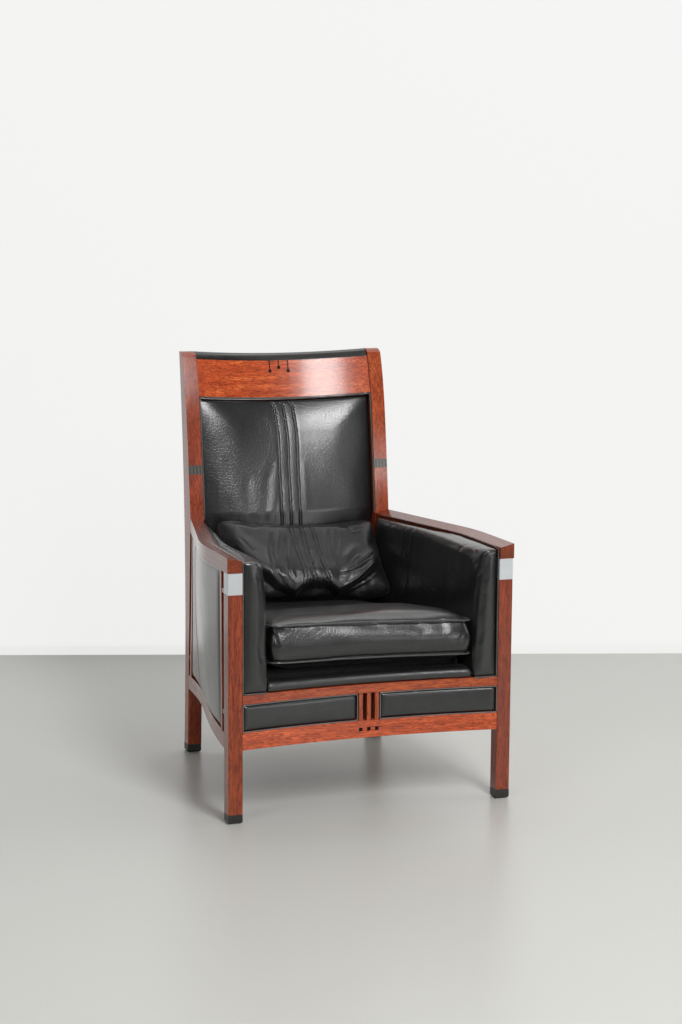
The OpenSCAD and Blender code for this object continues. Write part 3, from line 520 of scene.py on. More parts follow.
@dataclass(frozen=True)
class PlainFinish:
    """A coloured surface with a speckle and a low relief: caps, inlays, boards, cloths and threads."""

    name: str
    colour: tuple[float, float, float]
    second: tuple[float, float, float]
    roughness: float
    stretch: tuple[float, float, float] = (1.0, 1.0, 1.0)
    scale: float = 180.0
    relief: float = 0.15
    coat: float = 0.0
    gloss: float = 0.5

    def build(self) -> bpy.types.Material:
        """Makes the material.

        Returns:
            The node material of this surface.
        """
        n = Nodes(self.name)
        where = n.place(self.stretch)
        speck = n.noise(where, self.scale, 3, 0.6, 0.2)
        n.set(Base_Color=n.blend(n.span(speck, 0.35, 0.65), self.colour, self.second),
              Roughness=n.span(speck, 0.3, 0.7, self.roughness - 0.04, self.roughness + 0.06),
              Specular_IOR_Level=self.gloss, Coat_Weight=self.coat, Coat_Roughness=0.12,
              Normal=n.bump(speck, self.relief, 0.0003))
        return n.material


@dataclass(frozen=True)
class StripeFinish:
    """Dark inlay wood with thin upright stripes."""

    name: str
    pitch: float = 4.6
    dark: tuple[float, float, float] = (0.016, 0.013, 0.011)
    pale: tuple[float, float, float] = (0.075, 0.062, 0.05)

    def build(self) -> bpy.types.Material:
        """Makes the material.

        Returns:
            The node material of the inlay.
        """
        n = Nodes(self.name)
        wave = n.add("ShaderNodeTexWave", Scale=1000 / self.pitch / 20 * math.pi, Distortion=0.3, Detail=1.0)
        wave.wave_type, wave.bands_direction = "BANDS", "X"
        n.link(n.place((1, 1, 1)), wave.inputs["Vector"])
        band = n.span(wave.outputs["Fac"], 0.45, 0.8)
        n.set(Base_Color=n.blend(band, self.dark, self.pale), Roughness=0.36, Coat_Weight=0.4, Coat_Roughness=0.15,
              Normal=n.bump(band, 0.1, 0.0002))
        return n.material


Finish = WoodFinish | LeatherFinish | MetalFinish | PlainFinish | StripeFinish


class Palette:
    """The finishes of the chair, each built once."""

    def __init__(self) -> None:
        """Starts with no material built."""
        self.built: dict[str, bpy.types.Material] = {}

    def get(self, finish: Finish) -> bpy.types.Material:
        """The material of a finish, built when it is first asked for.

        Args:
            finish: The finish.

        Returns:
            The material.
        """
        if finish.name not in self.built:
            self.built[finish.name] = finish.build()
        return self.built[finish.name]


PALETTE = Palette()
LEATHER = LeatherFinish("leather_black")
LEATHER_ROLL = LeatherFinish("leather_roll", roughness=0.42, crease=0.2, polish=1.0, sheen=0.33)
# Painted highlight: the welt's base and worn colours are lifted from the black leather's near-black to dark grey, to
# stand for the bright lines that light draws along the glossy welts.
WELT_LEATHER_PAINTED_HIGHLIGHT = LeatherFinish("leather_welt_painted_highlight", base=(0.03, 0.0305, 0.0305), worn=(0.045, 0.0455, 0.0455),
                             roughness=0.25, crease=0.05, polish=1.0, sheen=0.16)
LEATHER_PILLOW = LeatherFinish("leather_pillow", roughness=0.42, crease=0.55, polish=0.5, sheen=0.28)
# Painted highlight: the piping's base and worn colours are lifted well above the black leather, to stand for the
# light lines that glossy black piping catches along the welts and beads.
PIPING_LEATHER_PAINTED_HIGHLIGHT = LeatherFinish("leather_piping_painted_highlight", base=(0.05, 0.051, 0.051), worn=(0.08, 0.081, 0.081), roughness=0.25,
                               crease=0.05, polish=1.0, sheen=0.1)
# Painted highlight: the front panels' bead is leather coloured mid grey, to stand for the light line that light draws
# along a glossy black bead.
BEAD_PAINTED_HIGHLIGHT = LeatherFinish("front_bead_painted_highlight", base=(0.10, 0.10, 0.098), worn=(0.15, 0.15, 0.145), roughness=0.3,
                          crease=0.05, polish=1.0, sheen=0.12)
SATIN = MetalFinish("satin_metal", (0.72, 0.745, 0.76), 0.46)
STEEL = MetalFinish("zinc_steel", (0.5, 0.5, 0.52), 0.3)
CAP_BLACK = PlainFinish("foot_cap_black", (0.012, 0.011, 0.011), (0.022, 0.02, 0.019), 0.42)
EBONY = PlainFinish("ebony_polish", (0.007, 0.006, 0.006), (0.013, 0.011, 0.010), 0.3, (0.08, 1, 1), 150, 0.03,
                    coat=0.5)
EBONY_PEG = PlainFinish("ebony_peg", (0.005, 0.004, 0.004), (0.010, 0.008, 0.007), 0.6, (1, 1, 0.2), 300, 0.1,
                        gloss=0.1)
STRIPES = StripeFinish("striped_inlay")
BEECH = PlainFinish("plain_beech", (0.50, 0.34, 0.19), (0.40, 0.26, 0.14), 0.55, (1, 0.06, 1), 120)
# Painted shade: beech coloured near-black for the front seat frame, standing for the shade in the gaps between the
# front slats.
SEAT_FRONT_PAINTED_SHADE = PlainFinish("beech_painted_shade", (0.020, 0.012, 0.008), (0.012, 0.008, 0.006), 0.6, (0.06, 1, 1), 120)
PLYWOOD = PlainFinish("plywood", (0.56, 0.42, 0.26), (0.44, 0.31, 0.18), 0.6, (1, 1, 0.08), 110)
WEBBING = PlainFinish("webbing_weave", (0.05, 0.045, 0.04), (0.02, 0.018, 0.016), 0.8, scale=600, relief=0.4)
LINING = PlainFinish("lining_cloth", (0.016, 0.016, 0.017), (0.028, 0.028, 0.029), 0.85, scale=900, relief=0.4)


# --------------------------------------------------------------------------------------------------------------------
# Making and placing pieces


def finish_object(name: str, bm: bmesh.types.BMesh, finish: Finish, sharp: float = 40.0) -> bpy.types.Object:
    """Turns a bmesh into an object with smooth faces and sharp edges.

    Args:
        name: Name of the new piece.
        bm: The mesh, which is freed.
        finish: The finish that its material comes from.
        sharp: Angle in degrees above which an edge stays sharp.

    Returns:
        The object, linked to the scene.
    """
    bm.normal_update()
    for face in bm.faces:
        face.smooth = True
    for edge in bm.edges:
        edge.smooth = not (len(edge.link_faces) == 2 and edge.calc_face_angle(0) > math.radians(sharp))
    mesh = bpy.data.meshes.new(name)
    bm.to_mesh(mesh)
    bm.free()
    obj = bpy.data.objects.new(name, mesh)
    bpy.context.scene.collection.objects.link(obj)
    mesh.materials.append(PALETTE.get(finish))
    return obj


def place(obj: bpy.types.Object, body: str, slot: str, *nodes: str, fill: float | None = None) -> bpy.types.Object:
    """Rides a finished piece on its body, hides the CAD nodes that it replaces and logs its face count.

    Args:
        obj: The piece.
        body: The CAD body it moves with.
        slot: The record's material slot; not used.
        nodes: CAD nodes that it replaces.
        fill: How full it is padded, where it is a padded piece; not used.

    Returns:
        The same object.
    """
    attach(obj, body)
    if nodes:
        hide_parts(*nodes)
    log.info("%s: %d faces on %s", obj.name, len(obj.data.polygons), body)
    return obj


def node_copy(node: str) -> bmesh.types.BMesh:
    """A merged copy of a CAD node's mesh, with its flat faces whole again.

    Args:
        node: The CAD node.

    Returns:
        The mesh.
    """
    bm = bmesh.new()
    bm.from_mesh(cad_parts[node].data)
    bmesh.ops.remove_doubles(bm, verts=bm.verts, dist=2e-6)
    bmesh.ops.dissolve_limit(bm, angle_limit=math.radians(0.4), verts=bm.verts, edges=bm.edges)
    return bm


def dress(obj: bpy.types.Object, finish: Finish) -> None:
    """Gives a piece one finish in place of what it had."""
    obj.data.materials.clear()
    obj.data.materials.append(PALETTE.get(finish))


def nearest(points: Sequence[Vector]) -> KDTree:
    """A tree that finds the nearest of some points.

    Args:
        points: The points, in metres.

    Returns:
        The tree; it gives back each point's place in the sequence.
    """
    tree = KDTree(len(points))
    for k, point in enumerate(points):
        tree.insert(point, k)
    tree.balance()
    return tree


def keep_modified(obj: bpy.types.Object) -> None:
    """Makes what a piece's modifiers show its own mesh.

    Args:
        obj: The piece, whose modifiers are removed.
    """
    bpy.context.view_layer.update()
    shown = bpy.data.meshes.new_from_object(obj.evaluated_get(bpy.context.evaluated_depsgraph_get()))
    obj.modifiers.clear()
    old, obj.data = obj.data, shown
    bpy.data.meshes.remove(old)


def smooth(bm: bmesh.types.BMesh, times: int) -> None:
    """Smooths a mesh a number of times.

    Args:
        bm: The mesh, which is changed.
        times: How often it is smoothed.
    """
    for _ in range(times):
        bmesh.ops.smooth_vert(bm, verts=bm.verts, factor=0.5, use_axis_x=True, use_axis_y=True, use_axis_z=True)


def tube(name: str, path: Sequence[Vector], radius: float, finish: Finish, closed: bool = False,
         sides: int = 8) -> bpy.types.Object:
    """A round cord along a path, swept from a circle.

    Args:
        name: Name of the new piece.
        path: Points of its middle line, in metres.
        radius: Its radius in metres.
        finish: The finish of its surface.
        closed: Whether the last point joins the first.
        sides: How many sides its section has.

    Returns:
        The cord as a mesh object.
    """
    count = len(path)
    bm = bmesh.new()
    rings: list[list[bmesh.types.BMVert]] = []
    side = None
    for i, point in enumerate(path):
        before = path[(i - 1) % count] if closed or i else point
        after = path[(i + 1) % count] if closed or i < count - 1 else point
        along = (after - before).normalized()
        side = (Vector((0.31, 0.2, 0.93)) if side is None else side)
        side = (side - along * side.dot(along)).normalized()
        turn = Matrix((side, along.cross(side), along)).transposed().to_4x4()
        made = bmesh.ops.create_circle(bm, segments=sides, radius=radius, matrix=Matrix.Translation(point) @ turn)
        rings.append(made["verts"])
    spans = zip(rings, rings[1:] + ([rings[0]] if closed else []))
    for first, second in spans:
        edges = [e for ring in (first, second) for e in {e for v in ring for e in v.link_edges}
                 if all(u in ring for u in e.verts)]
        bmesh.ops.bridge_loops(bm, edges=edges)
    if not closed:
        bmesh.ops.holes_fill(bm, edges=[e for e in bm.edges if e.is_boundary], sides=sides)
    bmesh.ops.recalc_face_normals(bm, faces=bm.faces)
    return finish_object(name, bm, finish, 60)


def skin_grid(columns: Sequence[float], rows: Sequence[float], front: Callable[[float, float], Vector],
              rear: Callable[[float, float], Vector]) -> bmesh.types.BMesh:
    """A closed padded form between a front and a rear surface.

    Args:
        columns: Shares across, from 0 to 1.
        rows: Shares up, from 0 to 1.
        front: The front surface's point at two shares, in metres.
        rear: The rear surface's point at two shares, in metres.

    Returns:
        The closed mesh; its vertices hold their shares in the layers "u" and "w".
    """
    bm = bmesh.new()
    across, up = len(columns), len(rows)
    bmesh.ops.create_grid(bm, x_segments=across - 1, y_segments=up - 1, size=1.0)
    layer_u = bm.verts.layers.float.new("u")
    layer_w = bm.verts.layers.float.new("w")
    for v in bm.verts:
        v[layer_u] = columns[round((v.co.x + 1) / 2 * (across - 1))]
        v[layer_w] = rows[round((v.co.y + 1) / 2 * (up - 1))]
    twin = bmesh.ops.duplicate(bm, geom=bm.verts[:] + bm.edges[:] + bm.faces[:])
    back_verts = {g for g in twin["geom"] if isinstance(g, bmesh.types.BMVert)}
    back_faces = [g for g in twin["geom"] if isinstance(g, bmesh.types.BMFace)]
    for v in bm.verts:
        v.co = (rear if v in back_verts else front)(v[layer_u], v[layer_w])
    bmesh.ops.reverse_faces(bm, faces=back_faces)
    bmesh.ops.bridge_loops(bm, edges=[e for e in bm.edges if e.is_boundary])
    bmesh.ops.recalc_face_normals(bm, faces=bm.faces)
    return bm


def edged(count: int, edge: float, near: int = 5) -> list[float]:
    """Shares from 0 to 1 that lie closer together within edge of either end."""
    low = [edge * (i / near) ** 1.6 for i in range(near)]
    return low + [mix(edge, 1 - edge, i / count) for i in range(count + 1)] + [1 - s for s in reversed(low)]


def rounding(t: float, share: float) -> float:
    """Rise of a quarter circle from 0 at an edge to 1 at share from it."""
    return math.sqrt(max(0.0, 1 - (1 - min(1.0, min(t, 1 - t) / share)) ** 2))


def lip(distance: float, reach: float) -> float:
    """Rise of a quarter circle from 0 at an edge to 1 at reach from it."""
    return math.sqrt(max(0.0, 1 - (1 - clamp(distance / reach)) ** 2))


def waver(point: Vector, scale: float, seed: float = 0.0) -> float:
    """Smooth noise from -1 to 1 at a point, with features of about scale metres."""
    return noise.noise(point / scale + Vector((seed, seed * 1.7, seed * 0.6)))


class Fold(Enum):
    """Section of a line worked into leather: which way it is raised or sunk."""

    SEAM = "seam"
    CREASE = "crease"
    RIDGE = "ridge"

    def height(self, q: float) -> float:
        """Height at q widths from the line, from -1 to 1.

        Args:
            q: Distance from the line in widths, with its sign.

        Returns:
            The height.
        """
        if self is Fold.SEAM:
            return -math.exp(-q * q * 2.2)
        if self is Fold.CREASE:
            return -math.exp(-q * q * 1.6) + 0.42 * math.exp(-((abs(q) - 1.5) ** 2) * 1.8)
        return math.exp(-q * q * 1.3)


@dataclass(frozen=True)
class Line:
    """A line worked into a leather surface: its points, its fold, and its width and depth in millimetres."""

    points: tuple[Point, ...]
    fold: Fold = Fold.CREASE
    width: float = 5.0
    depth: float = 2.0
    fade: float = 0.25


class View:
    """The photograph's view, for placing work on what carries it."""

    focal: float = 2072.8
    yaw: float = 19.736
    pitch: float = 8.371
    roll: float = 0.365
    place: tuple[float, float, float] = (-1.7342, -4.98637, 1.4621)

    def __init__(self) -> None:
        """Works out the camera's matrix."""
        yaw, pitch = math.radians(self.yaw), math.radians(self.pitch)
        ahead = Vector((math.sin(yaw) * math.cos(pitch), math.cos(yaw) * math.cos(pitch), -math.sin(pitch)))
        self.eye = Vector(self.place)
        self.matrix = (Matrix.Translation(self.eye) @ ahead.to_track_quat("-Z", "Y").to_matrix().to_4x4()
                       @ Matrix.Rotation(math.radians(self.roll), 4, "Z"))

    def ray(self, px: float, py: float) -> Vector:
        """Direction of the view through a pixel of the photograph."""
        local = Vector(((px - PHOTO_WIDTH / 2) / self.focal, (PHOTO_HEIGHT / 2 - py) / self.focal, -1.0))
        return (self.matrix.to_3x3() @ local).normalized()

    def pixel(self, co: Vector) -> Point:
        """The pixel of the photograph at which a point is seen."""
        local = self.matrix.inverted() @ co
        return PHOTO_WIDTH / 2 - self.focal * local.x / local.z, PHOTO_HEIGHT / 2 + self.focal * local.y / local.z

    def ground(self, px: float, py: float) -> Vector:
        """The point of the floor seen at a pixel of the photograph."""
        ray = self.ray(px, py)
        return self.eye - ray * (self.eye.z / ray.z)

    def camera(self) -> bpy.types.Object:
        """Makes the scene's camera.

        Returns:
            The camera object.
        """
        data = bpy.data.cameras.new("photo_camera")
        data.sensor_width = 36
        data.lens = self.focal / PHOTO_HEIGHT * data.sensor_width
        data.clip_end = 60
        obj = bpy.data.objects.new("photo_camera", data)
        obj.matrix_world = self.matrix
        bpy.context.scene.collection.objects.link(obj)
        bpy.context.scene.camera = obj
        return obj


VIEW = View()


class Leatherwork:
    """Works lines and waves into a leather mesh by moving its vertices along their normals."""

    def __init__(self, bm: bmesh.types.BMesh) -> None:
        """Reads the mesh's surface, for lines that are laid on it.

        Args:
            bm: The mesh, which apply() changes.
        """
        self.bm = bm
        bm.normal_update()
        bm.verts.ensure_lookup_table()
        self.tree = BVHTree.FromBMesh(bm)
        self.near = KDTree(len(bm.verts))
        for v in bm.verts:
            self.near.insert(v.co, v.index)
        self.near.balance()
        self.normals = [v.normal.copy() for v in bm.verts]
        self.moves: dict[int, float] = {}

    def on_view(self, points: Sequence[Point], step: float = 2.0) -> list[Vector]:
        """Lays a line seen in the photograph on the surface.

        Args:
            points: Pixels of the photograph.
            step: Distance between the samples, in pixels.

        Returns:
            Points on the surface, in metres.
        """
        found = []
        for (x0, y0), (x1, y1) in zip(points, points[1:]):
            count = max(1, round(math.hypot(x1 - x0, y1 - y0) / step * 2))
            for i in range(count + (points[-1] == (x1, y1))):
                hit = self.tree.ray_cast(VIEW.eye, VIEW.ray(mix(x0, x1, i / count), mix(y0, y1, i / count)))
                if hit[0] is not None:
                    found.append(hit[0])
        return found

    def work(self, path: Sequence[Vector], fold: Fold, width: float, depth: float, fade: float = 0.25,
             ripple: float = 0.0, pitch: float = 10.0) -> None:
        """Works one line into the surface.

        Args:
            path: Points on the surface, in metres.
            fold: Its section.
            width: Half its width in millimetres.
            depth: Its depth in millimetres.
            fade: Share of its length over which it fades at either end.
            ripple: Share of the depth that comes and goes along it.
            pitch: Length of that ripple in millimetres.
        """
        if len(path) < 2:
            log.warning("a line of the leatherwork misses its piece")
            return
        lengths = [0.0]
        for a, b in zip(path, path[1:]):
            lengths.append(lengths[-1] + (b - a).length)
        total = max(lengths[-1], 1e-6)
        reach = width * MM * (3.0 if fold is Fold.CREASE else 2.2)
        best: dict[int, tuple[float, float, float]] = {}
        for k, point in enumerate(path):
            along = (path[min(k + 1, len(path) - 1)] - path[max(k - 1, 0)]).normalized()
            for co, index, distance in self.near.find_range(point, reach):
                if index in best and best[index][0] <= distance:
                    continue
                sign = 1.0 if along.cross(co - point).dot(self.normals[index]) > 0 else -1.0
                away = (co - point) - along * (co - point).dot(along)
                best[index] = (distance, sign * away.length, lengths[k] / total)
        for index, (_, away, share) in best.items():
            ends = min(1.0, min(share, 1 - share) / fade) if fade > 0 else 1.0
            wave = 1 + ripple * math.sin(2 * math.pi * share * total / (pitch * MM))
            height = fold.height(away / (width * MM)) * depth * MM * ease(ends) * wave
            self.moves[index] = self.moves.get(index, 0.0) + height

    def lines(self, lines: Iterable[Line]) -> None:
        """Works lines of the photograph into the surface."""
        for line in lines:
            self.work(self.on_view(line.points), line.fold, line.width, line.depth, line.fade)

    def wave(self, height: Callable[[Vector, Vector], float]) -> None:
        """Adds a height in metres that a function gives for each vertex and normal."""
        for v in self.bm.verts:
            self.moves[v.index] = self.moves.get(v.index, 0.0) + height(v.co, self.normals[v.index])

    def apply(self) -> None:
        """Moves the vertices."""
        for index, height in self.moves.items():
            self.bm.verts[index].co += self.normals[index] * height
        self.moves.clear()
        self.bm.normal_update()


@dataclass(frozen=True)
class Stuffing:
    """How a padded form is blown up as cloth: pressure, furthest move in millimetres, frames, and growth."""

    pressure: float = 4.0
    cap: float = 8.0
    frames: int = 16
    slack: float = 0.0

    def blow(self, obj: bpy.types.Object, held: Callable[[Vector], float] | None = None) -> None:
        """Runs the cloth and keeps its result in the mesh.

        Args:
            obj: The padded form, whose mesh is changed.
            held: How firmly a point is held by its seams, from 0 to 1.
        """
        mesh = obj.data
        rest = [v.co.copy() for v in mesh.vertices]
        cloth = obj.modifiers.new("stuffing", "CLOTH")
        settings = cloth.settings
        settings.quality = 5
        settings.mass = 0.25
        settings.tension_stiffness = settings.compression_stiffness = 12
        settings.shear_stiffness = 6
        settings.bending_stiffness = 0.6
        settings.use_pressure = True
        settings.uniform_pressure_force = self.pressure
        settings.effector_weights.gravity = 0
        settings.shrink_min = -self.slack
        cloth.collision_settings.use_collision = False
        cloth.point_cache.frame_start, cloth.point_cache.frame_end = 1, self.frames
        if held is not None:
            group = obj.vertex_groups.new(name="seams")
            for v in mesh.vertices:
                weight = held(v.co)
                if weight > 0.01:
                    group.add([v.index], weight, "REPLACE")
            settings.vertex_group_mass = "seams"
        scene = bpy.context.scene
        for number in range(1, self.frames + 1):
            scene.frame_set(number)
        blown = obj.evaluated_get(bpy.context.evaluated_depsgraph_get()).data
        for v, was in zip(mesh.vertices, rest):
            move = blown.vertices[v.index].co - was
            if move.length > self.cap * MM:
                move *= self.cap * MM / move.length
            v.co = was + move
        obj.modifiers.remove(cloth)
        obj.vertex_groups.clear()
        scene.frame_set(1)


def padded_copy(name: str, node: str, voxel: float, times: int, shrink: float = 0.0) -> bpy.types.Object:
    """An even mesh over a soft CAD node, a little smaller than it where that is asked.

    Args:
        name: Name of the new piece.
        node: The CAD node.
        voxel: Size of its faces in millimetres.
        times: How often it is smoothed.
        shrink: How far it starts inside the node, in millimetres.

    Returns:
        The object.
    """
    obj = finish_object(name, node_copy(node), LEATHER)
    mod = obj.modifiers.new("even", "REMESH")
    mod.mode = "VOXEL"
    mod.voxel_size = voxel * MM
    keep_modified(obj)
    bm = bmesh.new()
    bm.from_mesh(obj.data)
    smooth(bm, times)
    bm.normal_update()
    if shrink:
        for v in bm.verts:
            v.co -= v.normal * shrink * MM
    bm.to_mesh(obj.data)
    bm.free()
    return obj


def even_out(obj: bpy.types.Object, times: int) -> None:
    """Smooths a piece's small waves.

    Args:
        obj: The piece, whose mesh is changed.
        times: How often it is smoothed.
    """
    bm = bmesh.new()
    bm.from_mesh(obj.data)
    smooth(bm, times)
    bm.to_mesh(obj.data)
    bm.free()


def refine(bm: bmesh.types.BMesh, lines: Iterable[Sequence[Point]], reach: float) -> None:
    """Splits the faces round lines seen in the photograph, so that narrow seams keep their shape.

    Args:
        bm: The mesh, which is changed.
        lines: Pixels of the photograph along each line.
        reach: Distance from the lines in millimetres.
    """
    craft = Leatherwork(bm)
    near = nearest([point for line in lines for point in craft.on_view(line)])
    close = {v for v in bm.verts if near.find(v.co)[2] < reach * MM}
    edges = [e for e in bm.edges if e.verts[0] in close and e.verts[1] in close]
    bmesh.ops.subdivide_edges(bm, edges=edges, cuts=1, use_grid_fill=True)
    bmesh.ops.triangulate(bm, faces=[f for f in bm.faces if len(f.verts) > 4])


def work_over(obj: bpy.types.Object, work: Callable[[Leatherwork], None],
              narrow: Sequence[Sequence[Point]] = ()) -> None:
    """Subdivides a padded piece and works its seams and wrinkles into it.

    Args:
        obj: The piece, whose mesh is changed.
        work: Works the lines into its surface.
        narrow: Lines of the photograph round which its mesh is made finer.
    """
    mod = obj.modifiers.new("finer", "SUBSURF")
    mod.levels = mod.render_levels = 1
    keep_modified(obj)
    bm = bmesh.new()
    bm.from_mesh(obj.data)
    if narrow:
        refine(bm, narrow, 6.0)
    craft = Leatherwork(bm)
    work(craft)
    craft.apply()
    for face in bm.faces:
        face.smooth = True
    bm.to_mesh(obj.data)
    bm.free()


# --------------------------------------------------------------------------------------------------------------------
# The sub-assemblies


@dataclass
class Joinery:
    """The hardwood frame: every visible wooden piece with eased edges, its bands and caps."""

    ease_width: float = 1.5
    sharp_angle: float = 24.0
    segments: int = 2
    tones: dict[str, float] = field(default_factory=lambda: {
        "front_leg": 0.82, "back_post": 1.1, "crest_rail": 1.6, "front_rail_lower": 1.65, "front_rail_upper": 1.1,
        "arm": 0.6})

    def eased(self, node: str, finish: Finish, slot: str, width: float | None = None) -> bpy.types.Object:
        """A copy of a CAD node with its sharp outer edges eased, which replaces it.

        Args:
            node: The CAD node.
            finish: Its finish.
            slot: Its material slot.
            width: Width of the easing in millimetres.

        Returns:
            The new piece.
        """
        bm = node_copy(node)
        bm.normal_update()
        edges = [e for e in bm.edges if len(e.link_faces) == 2 and e.is_convex
                 and e.calc_face_angle(0) > math.radians(self.sharp_angle)]
        bmesh.ops.bevel(bm, geom=edges, offset=(width or self.ease_width) * MM, offset_type="OFFSET",
                        segments=self.segments, profile=0.5, affect="EDGES", clamp_overlap=True, material=-1)
        obj = finish_object(node + "_eased", bm, finish, 50)
        normals = obj.modifiers.new("faces_first", "WEIGHTED_NORMAL")
        normals.keep_sharp = True
        return place(obj, "frame", slot, node)

    def build(self) -> None:
        """Makes all wooden pieces and what is let into them."""
        wood = {
            Grain.UP: ("front_leg", "back_post", "side_stiles"),
            Grain.ALONG: ("arm", "side_rail", "side_bars"),
        }
        for grain, names in wood.items():
            for k, name in enumerate(names):
                for j, side in enumerate(("left", "right")):
                    finish = WoodFinish(f"hardwood_{name}_{side}", grain, (1.3 * k + 0.37 * j, 0.8 * j, 0.5 * k),
                                        tone=self.tones.get(name, 1.0))
                    self.eased(f"{name}_{side}", finish, "hardwood", 0.7 if name == "side_bars" else None)
        for k, name in enumerate(("crest_rail", "front_rail_lower", "front_rail_upper", "back_rail_lower")):
            self.eased(name, WoodFinish(f"hardwood_{name}", Grain.ACROSS, (0.4 * k, 0.9 * k, 0.2), figure=13.0,
                                        swirl=2.4, tone=self.tones.get(name, 1.0)), "hardwood")
        self.eased("front_slats", WoodFinish("hardwood_slats", Grain.UP, (2.2, 0.1, 0.6)), "hardwood", 0.7)
        self.eased("crest_cap_strip", EBONY, "dark_inlay")
        for side in ("left", "right"):
            self.eased(f"leg_band_{side}", SATIN, "metal_band", 0.8)
            for row in ("front", "back"):
                self.eased(f"foot_cap_{row}_{side}", CAP_BLACK, "foot_cap", 1.0)


@dataclass
class Innards:
    """What is hidden: boards, seat frame, blocks, screws, pins, dowels and straps keep their CAD shape."""

    finishes: tuple[tuple[str, Finish], ...] = (
        ("crest_inlays", EBONY_PEG), ("front_inlays", EBONY_PEG), ("post_inlay_left", STRIPES),
        ("post_inlay_right", STRIPES), ("foot_pins", STEEL), ("block_screws", STEEL), ("arm_dowels", BEECH),
        # seat_frame_front gets painted shade: near-black for the shade seen through the slat gaps.
        ("seat_frame_left", BEECH), ("seat_frame_right", BEECH), ("seat_frame_front", SEAT_FRONT_PAINTED_SHADE),
        ("seat_frame_back", BEECH), ("corner_blocks", BEECH), ("side_board_left", PLYWOOD),
        ("side_board_right", PLYWOOD), ("back_board", PLYWOOD), ("seat_webbing", WEBBING))

    def build(self) -> None:
        """Gives each node its finish."""
        for node, finish in self.finishes:
            dress(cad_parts[node], finish)
            log.info("%s keeps its CAD shape", node)


